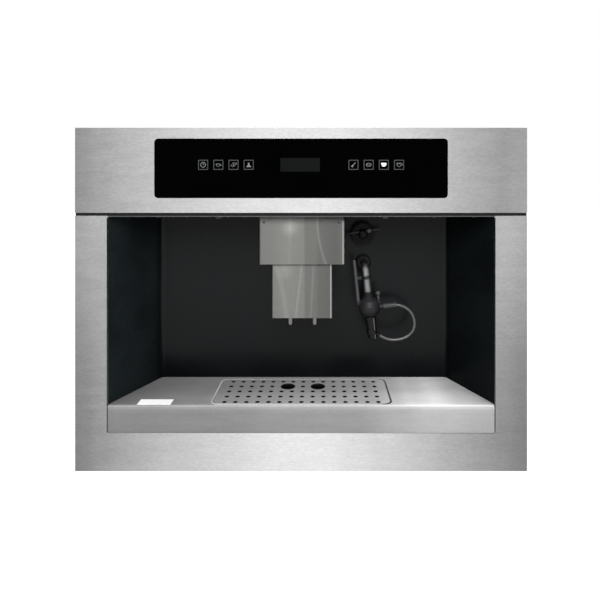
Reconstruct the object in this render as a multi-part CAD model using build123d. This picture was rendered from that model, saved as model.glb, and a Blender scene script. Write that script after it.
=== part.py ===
from build123d import *
import math
import os

# Built-in coffee machine, pulled out of its cabinet on telescopic rails.
# X runs to the right seen from the front, Y into the machine, Z up from the shelf.
# The origin is the middle of the footprint, on the shelf. All sizes are in millimetres.

# ---------------------------------------------------------------- overall
FRONT_W = 595.0  # width of the stainless front
OVERALL_DEPTH = 420.0  # front face to rear panel
FRONT_LIFT = 2.0  # front clears the shelf
FRONT_RETURN = 20.0  # folded edge of the front, seen from the side
FRONT_SHEET = 1.2  # stainless sheet
BODY_SHEET = 1.2  # galvanised body sheet
BODY_BOTTOM = 6.0
BODY_TOP = 440.0
TOP_FLANGE = 12.0  # folded top edge of the body sides
RUN = 0.3  # gap beside anything that slides or swings
FIT = 0.05  # radial gap of a shaft in its bore

# ---------------------------------------------------------------- front
PANEL_H = 112.0  # control panel height
SEAM = 4.0  # shadow gap under the control panel
BORDER_SIDE = 41.5
BORDER_BOTTOM = 49.0
TOP_BAR = 1.2  # folded edge over the niche
TOP_FOLD = 4.0  # depth of that fold
OPENING_H = 285.8
OPENING_R = 1.5
OPENING_LIP = 5.0  # edge of the opening folded inwards
GLASS_W = 386.0
GLASS_H = 78.0
GLASS_T = 4.0
GLASS_R = 4.5
GLASS_DROP = 14.5  # panel top to glass top
GLASS_SINK = 0.4  # glass face behind the front face
DISPLAY_W = 52.0
DISPLAY_H = 18.0
DISPLAY_R = 1.0
DISPLAY_RISE = 5.0  # display centre above the middle of the glass
PAD_SIZE = 13.0  # touch pad
PAD_PITCH = 20.0
PAD_FIRST = 69.0  # centre line to the nearest pad
PADS = 4
PAD_T = 1.0
BOARD_T = 1.6  # circuit boards
BOARD_EDGE = 10.0  # glass edge to the touch board's edge
BOARD_FOOT_W = 6.0
BOARD_FOOT_T = 4.4

# ---------------------------------------------------------------- niche
NICHE_DEPTH = 98.0  # front face to the niche's back wall
NICHE_BACK_W = 430.0
NICHE_CORNER_R = 8.0
LINER_T = 2.5

# ---------------------------------------------------------------- drip tray
TRAY_FASCIA_H = 37.0
TRAY_RECESS = 1.5  # tray front behind the front face
TRAY_BEND_R = 3.5
TRAY_SIDE_GAP = 0.6
GRID_W = 238.0
GRID_D = 81.0
GRID_FRONT = 6.0  # front face to the grid's front edge
GRID_R = 8.0
GRID_RISE = 0.6
GRID_RIM = 2.6
GRID_LEDGE_W = 3.0
HOLE_R = 2.2
HOLE_PITCH_X = 14.7
HOLE_PITCH_Y = 17.0
HOLE_COLUMNS = 15
HOLE_ROWS = 5
HOLE_FIRST_ROW = 10.0  # front face to the first row
DRIP_HOLE_R = 9.0
DRIP_HOLE_X = 21.5
DRIP_HOLE_ROW = 3
PAN_W = 290.0
PAN_WALL = 2.0
PAN_BACK_GAP = 6.0

# ---------------------------------------------------------------- spout
COVER_W = 115.0
COVER_H = 64.8
COVER_FRONT = 12.0  # front face to the cover's front
SLIDER_W = 82.0
SLIDER_H = 85.0
SLIDER_D = 46.0
SLIDER_FRONT = 16.0
SLIDER_DROP = 73.0  # slider hangs below the cover
SPOUT_TRAVEL = 50.0
SPOUT_BEND_R = 2.5
MANIFOLD_H = 70.0
FUNNEL_FLOOR = 12.0  # underside of the manifold to the floor of its funnel
NOZZLE_R = 3.5
NOZZLE_BORE_R = 2.0
NOZZLE_H = 18.0
NOZZLE_X = 17.2
NOZZLE_DEPTH = 50.0  # front face to the nozzles
RIB_W = 24.0  # head of the T-shaped guide rib
RIB_STEM_W = 14.0
RIB_HEAD_T = 5.0
RIB_NECK_T = 5.0
GUIDE_W = 44.0
GUIDE_H = 80.8
LINE_R = 3.0  # coffee line
LINE_RISE = 12.0  # from what a line passes over to the middle of its level run
LAMP_X = 114.5
LAMP_R = 4.5
LAMP_SINK = 4.0
LAMP_DEPTH = 27.0

# ---------------------------------------------------------------- steam
KNOB_X = 88.0
KNOB_DROP = 30.8  # opening's top edge down to the knob's axis
KNOB_R = 18.5
KNOB_T = 15.0
KNOB_EDGE = 3.0
KNOB_FLUTES = 12
FLUTE_R = 2.6
KNOB_DISH = 2.5
KNOB_SHAFT_R = 4.0
VALVE_SOCKET = 8.0  # depth of the valve block's sockets for the knob's shaft and the pipe
VALVE_HALF_W = 11.0
VALVE_D = 22.0
UNION_R = 6.0
UNION_H = 10.0
STEAM_LINE_R = 2.5
WAND_X = 89.6  # swivel axis of the wand
WAND_DROP = 74.3  # opening's top edge down to the swivel axis
WAND_DEPTH = 63.0  # front face to the hanging pipe
WAND_TILT = 6.0
ROSETTE_R = 11.5
ROSETTE_T = 9.0
ROSETTE_EDGE = 2.5
PIPE_R = 5.0
PIPE_BORE_R = 3.0
PIPE_BEND_R = 13.0
PIPE_DROP = 40.0
COLLAR_R = 7.5
FROTHER_R = 15.0
FROTHER_TOP = 38.0  # swivel axis down to the frother's collar
FROTHER_H = 36.0
SPRAY_H = 30.0
SPRAY_TOP_R = 8.0
SPRAY_END_R = 6.0
SPRAY_BORE_R = 3.5
GRIP_R = 2.5
GRIP_OFFSET = 15.0
GRIP_TOP = 10.0
GRIP_LENGTH = 60.0
VALVE_PIN_R = 1.8
VALVE_BALL_R = 3.6
BALL_STEPS = 6
VALVE_OFFSET = 14.3
VALVE_H = 13.0
VALVE_DROP = 51.0  # swivel axis down to the air screw's boss
BARB_R = 4.0
BARB_DROP = 61.0
BARB_LENGTH = 19.0
CLIP_DROP = 95.0
CLIP_H = 7.0
STUB_ANGLE = 36.0  # the stub points this far below the wand's own X
STUB_END = 12.5
HOSE_R = 2.2
HOSE_LEAD_IN = 8.0  # straight run out of the barb
HOSE_LEAD_OUT = 12.0  # straight run onto the stub
# Middle of the milk hose's route in X and Z from the swivel axis, in the upright plane of the wand.
HOSE_ROUTE = [
    (58.9, -60.5),
    (67.2, -68.0),
    (71.4, -78.5),
    (71.4, -89.5),
    (65.9, -99.0),
    (56.4, -105.0),
    (44.9, -107.5),
]

# ---------------------------------------------------------------- cradle and rails
CRADLE_HALF_W = 276.0
CRADLE_T = 2.0
CRADLE_D = 366.0
CRADLE_SETBACK = 24.0
CRADLE_CORNER_R = 6.0
CRADLE_BOLT_R = 2.75
CRADLE_BOLT_X = 420.0
CRADLE_BOLT_Y = 300.0
VENT_W = 8.0
VENT_L = 50.0
VENT_PITCH = 16.0
SIDE_VENT_Y = -60.0
SIDE_VENT_Z = 250.0
REAR_VENT_X = 60.0
REAR_VENT_Z = 200.0
TOP_VENT_X = -60.0
TOP_VENT_Y = -120.0
BRACKET_H = 52.0
BRACKET_FOOT = 15.0
RAIL_LENGTH = 350.0
RAIL_H = 46.0
RAIL_T = 14.0
RAIL_SHEET = 1.5
RAIL_CENTRE_Z = 32.0
RAIL_LIP = 6.0
RAIL_CLEAR = 0.5  # body side to the outer rail

# ---------------------------------------------------------------- body contents
TANK_W = 92.0
TANK_D = 120.0
TANK_BOTTOM = 150.0
TANK_WALL = 2.5
TANK_X = -195.0
TANK_Y = 45.0
TANK_R = 8.0
TANK_BOSS_R = 9.0
SEAT_T = 4.0
SEAT_WALL = 3.0
SEAT_COLLAR = 10.0
LID_T = 4.0
LID_EDGE = 1.0
LID_LIP_W = 30.0
LID_LIP_OUT = 4.0
EAR_T = 3.0
RIM_W = 6.0
RIM_T = 1.5
LID_BARREL_R = 2.4
LID_PIN_R = 1.2
HOPPER_W = 150.0
HOPPER_D = 150.0
HOPPER_X = 15.0
HOPPER_Y = 95.0
HOPPER_WALL = 2.5
HOPPER_R = 10.0
HOPPER_NECK_R = 24.0
HOPPER_NECK_H = 15.0
HOPPER_STRAIGHT = 40.0  # upright part of the walls
GRINDER_TOP = 330.0
GRINDER_R = 45.0
GRINDER_H = 66.0
GRINDER_EDGE = 4.0
OUTLET_HALF_W = 18.0
OUTLET_LIFT = 6.0
OUTLET_H = 28.0
MOTOR_R = 32.0
MOTOR_H = 94.0
MOTOR_FOOT = 8.0
STAND_T = 2.0
STAND_REACH = 16.0  # stand beyond the motor at each side
BURR_R = 19.0
BURR_H = 20.0
BURR_GAP = 0.8
BURR_FLARE = 5.0
BURR_SKIRT = 4.0
BURR_GROOVE_W = 2.4
BURR_CUP_R = 29.0
BURR_CUP_DEPTH = 34.0
SHAFT_R = 5.0
BREW_X = 170.0
BREW_Y = 85.0
BREW_HALF_D = 55.0
BREW_PLATE_T = 4.0
BREW_LEFT = 108.0
BREW_SHELF_Z = 155.0
BREW_TOP = 335.0
CHAMBER_R = 29.0
CHAMBER_BORE_R = 25.0
CHAMBER_H = 60.0
CHAMBER_Z = 238.0
PISTON_TRAVEL = 30.0
PISTON_ENTRY = 2.0  # piston's underside above the cylinder's mouth, at rest
PISTON_T = 10.0
PISTON_ROD_R = 9.0
PISTON_ROD_H = 40.0
CROSSHEAD_W = 24.0
CROSSHEAD_T = 8.0
WEB_T = 10.0  # web that holds the brewing cylinder
SPINDLE_R = 4.0
SPINDLE_X = 126.0
SPINDLE_COLLAR_R = 7.0
SPINDLE_SOCKET = 6.0
GEARBOX_R = 14.0
GEARBOX_H = 12.0
GEARMOTOR_R = 11.0
GEARMOTOR_H = 32.0
DRAWER_BOTTOM = 64.0
DRAWER_H = 84.0
DRAWER_WALL = 2.0
DOOR_T = 2.5
DOOR_HALF_D = 65.0
DOOR_BOTTOM = 166.0
DOOR_H = 160.0
HINGE_R = 3.0
HINGE_PIN_R = 1.5
KNUCKLE_H = 14.0
KNUCKLE_INSET = 20.0
DOOR_R = 6.0
DOOR_LAP = 16.0  # door over its opening, both sides together
GRIP_SLOT_L = 40.0
GRIP_SLOT_W = 12.0
DRAWER_LAP = 8.0
BOILER_R = 32.0
BOILER_H = 110.0
BOILER_X = -110.0
BOILER_Z = 190.0
BOILER_DOME = 8.0
BOILER_GAP = 4.0  # niche lining to the boiler's shell
SADDLE_W = 36.0
SADDLE_H = 68.0
PUMP_R = 20.0
PUMP_X = -90.0
PUMP_Y = -50.0
PUMP_L = 110.0
PUMP_COIL_L = 46.0
PUMP_FOOT_T = 8.0
PUMP_FOOT_H = 10.0
SUCTION_R = 4.0
SUCTION_REACH = 30.0
PRESSURE_R = 3.0
PRESSURE_REACH = 22.0
PRESSURE_RISE = 40.0
GRIND_KNOB_R = 18.0
GRIND_KNOB_T = 3.0
GRIND_KNOB_H = 9.0
GRIND_KNOB_X = -100.0
GRIND_KNOB_Y = 95.0
FLAP_W = 54.0  # mouth of the ground coffee chute
FLAP_D = 44.0
FLAP_R = 6.0
CHUTE_R = 14.0
CHUTE_WALL = 2.0
CHUTE_NECK_H = 20.0  # top of the brewing unit to the foot of the slope
CHUTE_STRAIGHT = 25.0
INLET_X = -200.0
INLET_Z = 58.0
SWITCH_X = -150.0
SWITCH_W = 20.0
SWITCH_H = 14.0
ROCKER_TILT = 8.0
ROCKER_DEPTH = 6.0  # rear face to the rocker's axis
ROCKER_PIN_R = 1.2
ROCKER_CROWN = 2.6  # axis to the crown of the rocker
INLET_W = 28.0
INLET_H = 20.0
SOCKET_DEPTH = 15.0
SOCKET_R = 2.5
SWITCH_DEPTH = 10.0
BEZEL_WALL = 2.0
BEZEL_LAP = 4.0
PIN_W = 1.6
PIN_H = 4.0
POWER_X = -80.0
POWER_Z = 170.0
POWER_W = 120.0
POST_L = 8.0
POST_R = 3.0
COIL_W = 38.0
CAPACITOR_R = 7.0
RELAY_PITCH = 18.0
RELAY_W = 12.0
RELAY_H = 22.0

# ---------------------------------------------------------------- places worked out from these
BODY_HALF_W = CRADLE_HALF_W - CRADLE_T - RAIL_T - RAIL_CLEAR
Y_FRONT = -OVERALL_DEPTH / 2
BOILER_TOP = BOILER_Z + BOILER_H
Y_BACK = OVERALL_DEPTH / 2
Y_BODY = Y_FRONT + FRONT_RETURN
OPENING_W = FRONT_W - 2 * BORDER_SIDE
OPENING_BOTTOM = FRONT_LIFT + BORDER_BOTTOM
OPENING_TOP = OPENING_BOTTOM + OPENING_H
FRAME_TOP = OPENING_TOP + TOP_BAR
PANEL_BOTTOM = FRAME_TOP + SEAM
PANEL_TOP = PANEL_BOTTOM + PANEL_H
GLASS_Z = PANEL_TOP - GLASS_DROP - GLASS_H / 2
NICHE_BACK = Y_FRONT + NICHE_DEPTH
BOILER_Y = NICHE_BACK + LINER_T + BOILER_GAP + BOILER_R
TRAY_TOP = OPENING_BOTTOM + TRAY_FASCIA_H
GRID_Y = Y_FRONT + GRID_FRONT + GRID_D / 2
COVER_BOTTOM = OPENING_TOP - COVER_H
KNOB_Z = OPENING_TOP - KNOB_DROP
WAND_Z = OPENING_TOP - WAND_DROP
SLIDER_BOTTOM = COVER_BOTTOM - SLIDER_DROP
MANIFOLD_BOTTOM = SLIDER_BOTTOM + FRONT_SHEET
SLIDER_BACK = Y_FRONT + SLIDER_FRONT + SLIDER_D
WAND_Y = Y_FRONT + WAND_DEPTH
BODY_WALL = BODY_HALF_W - BODY_SHEET
FLOOR_Z = BODY_BOTTOM + BODY_SHEET
PUMP_Z = FLOOR_Z + PUMP_FOOT_H + PUMP_R
RAIL_Y = Y_FRONT + CRADLE_SETBACK
RIM_Z = BODY_TOP + BODY_SHEET + RUN
LID_Z = RIM_Z + RIM_T + RUN
SIDE_Z = RAIL_CENTRE_Z + RAIL_H / 2 + RUN
HINGE_X = BODY_HALF_W + RUN + HINGE_R
HINGE_Y = BREW_Y + DOOR_HALF_D + HINGE_R + 2 * RUN
LINE_Y = Y_FRONT + SLIDER_FRONT + SLIDER_D / 2
GRID_LEDGE = GRID_RIM - GRID_RISE + RUN
CHAMBER_LEFT = BREW_X - CHAMBER_R


# ---------------------------------------------------------------- helpers
def block(x0, x1, y0, y1, z0, z1):
    """A block between two corners."""
    return Pos((x0 + x1) / 2, (y0 + y1) / 2, (z0 + z1) / 2) * Box(x1 - x0, y1 - y0, z1 - z0)


def upright(radius, x, y, z0, z1):
    """A cylinder along Z."""
    return Pos(x, y, (z0 + z1) / 2) * Cylinder(radius, z1 - z0)


def along_x(radius, x0, x1, y, z):
    """A cylinder along X."""
    return Pos((x0 + x1) / 2, y, z) * Rot(0, 90, 0) * Cylinder(radius, x1 - x0)


def along_y(radius, x, y0, y1, z):
    """A cylinder along Y."""
    return Pos(x, (y0 + y1) / 2, z) * Rot(90, 0, 0) * Cylinder(radius, y1 - y0)


def in_front_view(sketch, y0, y1):
    """Extrudes a sketch drawn in X and Z between two depths."""
    plane = Plane(origin=(0, y1, 0), x_dir=(1, 0, 0), z_dir=(0, -1, 0))
    return extrude(plane * sketch, amount=y1 - y0)


def in_side_view(sketch, x0, x1):
    """Extrudes a sketch drawn in Y and Z between two sides."""
    plane = Plane(origin=(x0, 0, 0), x_dir=(0, 1, 0), z_dir=(1, 0, 0))
    return extrude(plane * sketch, amount=x1 - x0)


def in_plan(sketch, z0, z1):
    """Extrudes a sketch drawn in X and Y between two heights."""
    return extrude(Pos(0, 0, z0) * sketch, amount=z1 - z0)


def rounded(width, height, radius, x=0.0, y=0.0):
    """A rectangle with round corners about a centre."""
    return Pos(x, y) * RectangleRounded(width, height, radius)


def turned(profile, x, y, z):
    """Revolves an outline of (radius, height) points about an upright axis."""
    outline = Polyline(*[(r, 0, h) for r, h in profile], close=True)
    return Pos(x, y, z) * revolve(make_face(outline), Axis.Z)


def write(name, part):
    """Writes one node."""
    part.label = name
    export_step(part, f"parts/{name}.step")


# ---------------------------------------------------------------- cradle and rails
def cradle_plate():
    y0 = RAIL_Y
    middle = y0 + CRADLE_D / 2
    plate = in_plan(
        rounded(2 * CRADLE_HALF_W, CRADLE_D, CRADLE_CORNER_R, 0, middle), 0, CRADLE_T
    )
    for x in (-1, 1):
        for y in (-1, 1):
            plate -= upright(
                CRADLE_BOLT_R, x * CRADLE_BOLT_X / 2, middle + y * CRADLE_BOLT_Y / 2, 0, CRADLE_T
            )
    for row in (-1, 0, 1):
        for column in range(-3, 4):
            place = Pos(column * 2 * VENT_PITCH, middle + row * 1.6 * VENT_L)
            plate -= in_plan(place * Rectangle(VENT_W, VENT_L), 0, CRADLE_T)
    return plate


def pair(build):
    """Left and right copies of a piece, as two solids of one node."""
    right = build()
    return Compound(children=[mirror(right, about=Plane.YZ).solid(), right.solid()])


def rail_bracket():
    outer = CRADLE_HALF_W
    y0, y1 = RAIL_Y, RAIL_Y + CRADLE_D
    wall = block(outer - CRADLE_T, outer, y0, y1, CRADLE_T, CRADLE_T + BRACKET_H)
    return wall + block(outer - BRACKET_FOOT, outer, y0, y1, CRADLE_T, 2 * CRADLE_T)


def channel(inset, height, depth, lip):
    """A C-shaped rail section open towards the body, drawn in X and Z."""
    x0 = CRADLE_HALF_W - CRADLE_T - inset
    x1 = x0 - depth
    half = height / 2
    z = RAIL_CENTRE_Z
    t = RAIL_SHEET
    shape = Pos((x0 + x1) / 2, z) * Rectangle(depth, height)
    shape -= Pos((x0 + x1) / 2 - t / 2, z) * Rectangle(depth - t, height - 2 * t)
    for s in (-1, 1):
        shape += Pos(x1 + t / 2, z + s * (half - lip / 2)) * Rectangle(t, lip)
    return shape


def rail(section):
    return in_front_view(section, RAIL_Y, RAIL_Y + RAIL_LENGTH)


def outer_rail():
    return rail(channel(0, RAIL_H, RAIL_T, RAIL_LIP))


def middle_rail():
    inset = RAIL_SHEET + RUN
    return rail(channel(inset, RAIL_H - 2 * inset, RAIL_T - 2 * inset, RAIL_LIP + RAIL_SHEET))


def inner_rail():
    """A hat section whose brim runs inside the middle rail and whose crown meets the body."""
    t = RAIL_SHEET
    z = RAIL_CENTRE_Z
    step = t + RUN
    x_brim = CRADLE_HALF_W - CRADLE_T - 2 * step
    x_lip = x_brim - (RAIL_T - 4 * step)
    brim_half = RAIL_H / 2 - 2 * step
    neck_half = RAIL_H / 2 - step - RAIL_LIP - t - RUN
    section = Pos(BODY_HALF_W + t / 2, z) * Rectangle(t, 2 * neck_half)
    for s in (-1, 1):
        neck = Pos((BODY_HALF_W + x_brim) / 2, z + s * (neck_half - t / 2))
        section += neck * Rectangle(x_brim - BODY_HALF_W, t)
        brim = Pos(x_brim - t / 2, z + s * (neck_half - t + brim_half) / 2)
        section += brim * Rectangle(t, brim_half - neck_half + t)
        edge = Pos((x_brim + x_lip) / 2, z + s * (brim_half - t / 2))
        section += edge * Rectangle(x_brim - x_lip, t)
    return rail(section)


# ---------------------------------------------------------------- body sheets
def chassis_pan():
    """Folded base of the body: floor, two low sides that carry the inner rails, rear edge."""
    outer = block(-BODY_HALF_W, BODY_HALF_W, Y_BODY, Y_BACK - BODY_SHEET, BODY_BOTTOM, SIDE_Z)
    inner = block(-BODY_WALL, BODY_WALL, Y_BODY, Y_BACK - BODY_SHEET, FLOOR_Z, SIDE_Z)
    pan = outer - inner
    for x in range(-3, 4):
        slot = Pos(2 * x * VENT_PITCH, 0) * Rectangle(VENT_W, VENT_L)
        pan -= in_plan(slot, BODY_BOTTOM, FLOOR_Z)
    return pan


def side_sheet():
    """One body side above the rails, with its top flange folded in."""
    wall = block(BODY_WALL, BODY_HALF_W, Y_BODY, Y_BACK - BODY_SHEET, SIDE_Z, BODY_TOP)
    flange = block(
        BODY_HALF_W - TOP_FLANGE, BODY_HALF_W, Y_BODY, Y_BACK - BODY_SHEET,
        BODY_TOP - BODY_SHEET, BODY_TOP,
    )
    return wall + flange


def side_panel_left():
    panel = side_sheet()
    for row in range(8):
        louvre = Pos(SIDE_VENT_Y, SIDE_VENT_Z + row * VENT_PITCH) * Rectangle(1.6 * VENT_L, VENT_W)
        panel -= in_side_view(louvre, BODY_WALL, BODY_HALF_W)
    return mirror(panel, about=Plane.YZ)


def side_panel_right():
    panel = side_sheet()
    bay = Pos(BREW_Y, DRAWER_BOTTOM + DRAWER_H / 2)
    panel -= in_side_view(
        bay * Rectangle(2 * BREW_HALF_D - 2 * BREW_PLATE_T, DRAWER_H + 2 * RUN),
        BODY_WALL, BODY_HALF_W,
    )
    door = Pos(BREW_Y, DOOR_BOTTOM + DOOR_H / 2)
    window = RectangleRounded(2 * DOOR_HALF_D - DOOR_LAP, DOOR_H - DOOR_LAP, DOOR_R)
    panel -= in_side_view(door * window, BODY_WALL, BODY_HALF_W)
    for z in knuckle_heights():
        panel += knuckle(z)
        panel += block(
            BODY_HALF_W, HINGE_X - HINGE_R * 0.6, HINGE_Y + HINGE_R * 0.2, HINGE_Y + 2 * HINGE_R,
            z, z + KNUCKLE_H,
        ) - along_pin(z, HINGE_R)
    return panel


def along_pin(z, radius):
    return upright(radius, HINGE_X, HINGE_Y, z, z + KNUCKLE_H)


def knuckle(z):
    """A hinge barrel on the door's axis, bored for the pin."""
    return along_pin(z, HINGE_R) - along_pin(z, HINGE_PIN_R + FIT)


def knuckle_heights():
    """Undersides of the two barrels on the body; the door's own sit on top of them."""
    high = DOOR_BOTTOM + DOOR_H - KNUCKLE_INSET - 2 * KNUCKLE_H - RUN
    return (DOOR_BOTTOM + KNUCKLE_INSET, high)


def service_door():
    """Cover of the brewing unit, hung by two pins at its rear edge."""
    x0 = BODY_HALF_W + RUN
    centre = Pos(BREW_Y, DOOR_BOTTOM + DOOR_H / 2)
    outline = centre * RectangleRounded(2 * DOOR_HALF_D, DOOR_H, DOOR_R)
    door = in_side_view(outline, x0, x0 + DOOR_T)
    grip = Pos(BREW_Y - DOOR_HALF_D + KNUCKLE_H, DOOR_BOTTOM + DOOR_H / 2)
    grip = grip * SlotOverall(GRIP_SLOT_L, GRIP_SLOT_W, rotation=90)
    door -= in_side_view(grip, x0 + DOOR_T / 2, x0 + DOOR_T)
    for z in knuckle_heights():
        top = z + KNUCKLE_H + RUN
        door += along_pin(top, HINGE_R)
        leaf = block(
            x0, x0 + DOOR_T, BREW_Y + DOOR_HALF_D - DOOR_T, HINGE_Y, top, top + KNUCKLE_H
        )
        door += leaf - along_pin(top, HINGE_R)
        door += upright(HINGE_PIN_R, HINGE_X, HINGE_Y, z, top + KNUCKLE_H)
    return door


def rear_panel():
    panel = block(
        -BODY_HALF_W, BODY_HALF_W, Y_BACK - BODY_SHEET, Y_BACK, BODY_BOTTOM, BODY_TOP
    )
    for column in (-1, 0, 1):
        for row in range(9):
            louvre = Pos(REAR_VENT_X + column * 1.5 * VENT_L, REAR_VENT_Z + row * VENT_PITCH)
            panel -= in_front_view(
                louvre * Rectangle(1.2 * VENT_L, VENT_W), Y_BACK - BODY_SHEET, Y_BACK
            )
    inlet = Pos(INLET_X, INLET_Z) * Rectangle(INLET_W + 2 * RUN, INLET_H + 2 * RUN)
    panel -= in_front_view(inlet, Y_BACK - BODY_SHEET, Y_BACK)
    switch = Pos(SWITCH_X, INLET_Z) * Rectangle(SWITCH_W + 2 * RUN, SWITCH_H + 2 * RUN)
    panel -= in_front_view(switch, Y_BACK - BODY_SHEET, Y_BACK)
    return panel


def top_cover():
    cover = block(-BODY_HALF_W, BODY_HALF_W, Y_BODY, Y_BACK, BODY_TOP, BODY_TOP + BODY_SHEET)
    holes = rounded(TANK_W + 2 * RUN, TANK_D + 2 * RUN, TANK_R + RUN, TANK_X, TANK_Y)
    holes += rounded(HOPPER_W + 2 * RUN, HOPPER_D + 2 * RUN, HOPPER_R + RUN, HOPPER_X, HOPPER_Y)
    holes += rounded(FLAP_W + 2 * RUN, FLAP_D + 2 * RUN, FLAP_R + RUN, BREW_X, BREW_Y)
    holes += Pos(GRIND_KNOB_X, GRIND_KNOB_Y) * Circle(GRIND_KNOB_R * 0.4 + RUN)
    for n in range(9):
        holes += Pos(TOP_VENT_X + n * VENT_PITCH, TOP_VENT_Y) * Rectangle(VENT_W, VENT_L)
    return cover - in_plan(holes, BODY_TOP, BODY_TOP + BODY_SHEET)


# ---------------------------------------------------------------- front
def skirt(outline, sheet, depth):
    """The folded edge that runs round an outline drawn in X and Z."""
    ring = outline - offset(outline, amount=-sheet)
    return in_front_view(ring, Y_FRONT, Y_FRONT + depth)


def front_frame():
    """Stainless frame round the niche: face, outer edge folded back, opening lip folded in."""
    centre_z = (FRONT_LIFT + FRAME_TOP) / 2
    outline = Pos(0, centre_z) * Rectangle(FRONT_W, FRAME_TOP - FRONT_LIFT)
    opening = niche_opening(0)
    face = in_front_view(outline - opening, Y_FRONT, Y_FRONT + FRONT_SHEET)
    edge = skirt(outline, FRONT_SHEET, FRONT_RETURN - BODY_SHEET)
    edge -= block(
        -FRONT_W / 2 + FRONT_SHEET, FRONT_W / 2 - FRONT_SHEET, Y_FRONT + TOP_FOLD, Y_BODY,
        FRAME_TOP - FRONT_SHEET, FRAME_TOP,
    )
    lip = in_front_view(niche_opening(FRONT_SHEET) - opening, Y_FRONT, Y_FRONT + OPENING_LIP)
    return face + edge + lip


def niche_opening(grow):
    centre_z = (OPENING_BOTTOM + OPENING_TOP) / 2
    return rounded(OPENING_W + 2 * grow, OPENING_H + 2 * grow, OPENING_R + grow, 0, centre_z)


def control_panel():
    """Stainless panel above the niche, with the window for the touch glass."""
    outline = Pos(0, (PANEL_BOTTOM + PANEL_TOP) / 2) * Rectangle(FRONT_W, PANEL_H)
    window = glass_outline(RUN)
    face = in_front_view(outline - window, Y_FRONT, Y_FRONT + FRONT_SHEET)
    lip = in_front_view(glass_outline(RUN + FRONT_SHEET) - window, Y_FRONT, Y_FRONT + GLASS_T)
    return face + lip + skirt(outline, FRONT_SHEET, FRONT_RETURN - BODY_SHEET)


def glass_outline(grow):
    return rounded(GLASS_W + 2 * grow, GLASS_H + 2 * grow, GLASS_R + grow, 0, GLASS_Z)


def control_glass():
    return in_front_view(glass_outline(0), Y_FRONT + GLASS_SINK, Y_FRONT + GLASS_T)


def touch_board():
    """Circuit board whose touch pads and display press against the back of the glass."""
    y_pads = Y_FRONT + GLASS_T
    y_board = y_pads + PAD_T
    y_feet = y_board + BOARD_T
    outline = rounded(GLASS_W - 2 * BOARD_EDGE, GLASS_H - 2 * BOARD_EDGE, DISPLAY_R, 0, GLASS_Z)
    board = in_front_view(outline, y_board, y_feet)
    for side in (-1, 1):
        for n in range(PADS):
            x = side * (PAD_FIRST + n * PAD_PITCH)
            pad = rounded(PAD_SIZE, PAD_SIZE, DISPLAY_R, x, GLASS_Z + DISPLAY_RISE)
            board += in_front_view(pad, y_pads, y_board)
    display = rounded(DISPLAY_W, DISPLAY_H, DISPLAY_R, 0, GLASS_Z + DISPLAY_RISE)
    board += in_front_view(display, y_pads, y_board)
    for x in (-1, 1):
        foot = Pos(x * (GLASS_W / 2 - BOARD_EDGE - BOARD_FOOT_W), GLASS_Z)
        foot = foot * Rectangle(BOARD_FOOT_W, GLASS_H - 3 * BOARD_EDGE)
        board += in_front_view(foot, y_feet, y_feet + BOARD_FOOT_T)
    return board


# ---------------------------------------------------------------- niche
def niche_plan():
    """Inside of the niche in plan: wide at the mouth, narrower at the back."""
    y0 = Y_FRONT + OPENING_LIP
    corners = [
        (-OPENING_W / 2, y0),
        (OPENING_W / 2, y0),
        (NICHE_BACK_W / 2, NICHE_BACK),
        (-NICHE_BACK_W / 2, NICHE_BACK),
    ]
    face = make_face(Polyline(*corners, close=True))
    back = [v for v in face.vertices() if v.Y > y0 + 1]
    return fillet(back, NICHE_CORNER_R)


def niche_liner():
    """Black moulded lining of the niche, with the well for the drip tray as its floor."""
    y0 = Y_FRONT + OPENING_LIP
    inside = niche_plan()
    outside = offset(inside, amount=LINER_T)
    liner = in_plan(outside, OPENING_BOTTOM - LINER_T, OPENING_TOP + LINER_T)
    liner -= block(-FRONT_W, FRONT_W, y0 - 2 * LINER_T, y0, 0, PANEL_TOP)
    liner -= in_plan(inside, OPENING_BOTTOM, OPENING_TOP)
    for x in (-LAMP_X, LAMP_X):
        liner -= upright(
            LAMP_R * 0.6 + FIT, x, Y_FRONT + LAMP_DEPTH, OPENING_TOP, OPENING_TOP + LINER_T
        )
    back0, back1 = NICHE_BACK, NICHE_BACK + LINER_T
    liner -= along_y(KNOB_SHAFT_R + FIT, KNOB_X, back0, back1, KNOB_Z)
    liner -= along_y(PIPE_R + FIT, WAND_X, back0, back1, WAND_Z)
    liner -= upright(LINE_R + FIT, 0, LINE_Y, OPENING_TOP, OPENING_TOP + LINER_T)
    return liner


def niche_lamps():
    """Two small lamps in the niche's ceiling, each a lens and its holder."""
    solids = []
    for x in (-LAMP_X, LAMP_X):
        y = Y_FRONT + LAMP_DEPTH
        lamp = upright(LAMP_R, x, y, OPENING_TOP - LAMP_SINK, OPENING_TOP)
        lamp = chamfer(lamp.edges().group_by(Axis.Z)[0], LAMP_R * 0.3)
        lamp += upright(LAMP_R * 0.6, x, y, OPENING_TOP, OPENING_TOP + LINER_T + 4)
        solids.append(lamp.solid())
    return Compound(children=solids)


# ---------------------------------------------------------------- drip tray
def tray_plan(inset):
    """The niche's plan with a gap at the sides and back, reaching forward to the tray front."""
    y_mouth = Y_FRONT + OPENING_LIP
    y0 = Y_FRONT + TRAY_RECESS + inset
    half_front = OPENING_W / 2 - TRAY_SIDE_GAP - inset
    half_back = NICHE_BACK_W / 2 - TRAY_SIDE_GAP - inset
    y1 = NICHE_BACK - TRAY_SIDE_GAP
    corners = [
        (-half_front, y0),
        (half_front, y0),
        (half_front, y_mouth),
        (half_back, y1),
        (-half_back, y1),
        (-half_front, y_mouth),
    ]
    face = make_face(Polyline(*corners, close=True))
    back = [v for v in face.vertices() if v.Y > y1 - 1]
    return fillet(back, NICHE_CORNER_R)


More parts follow.
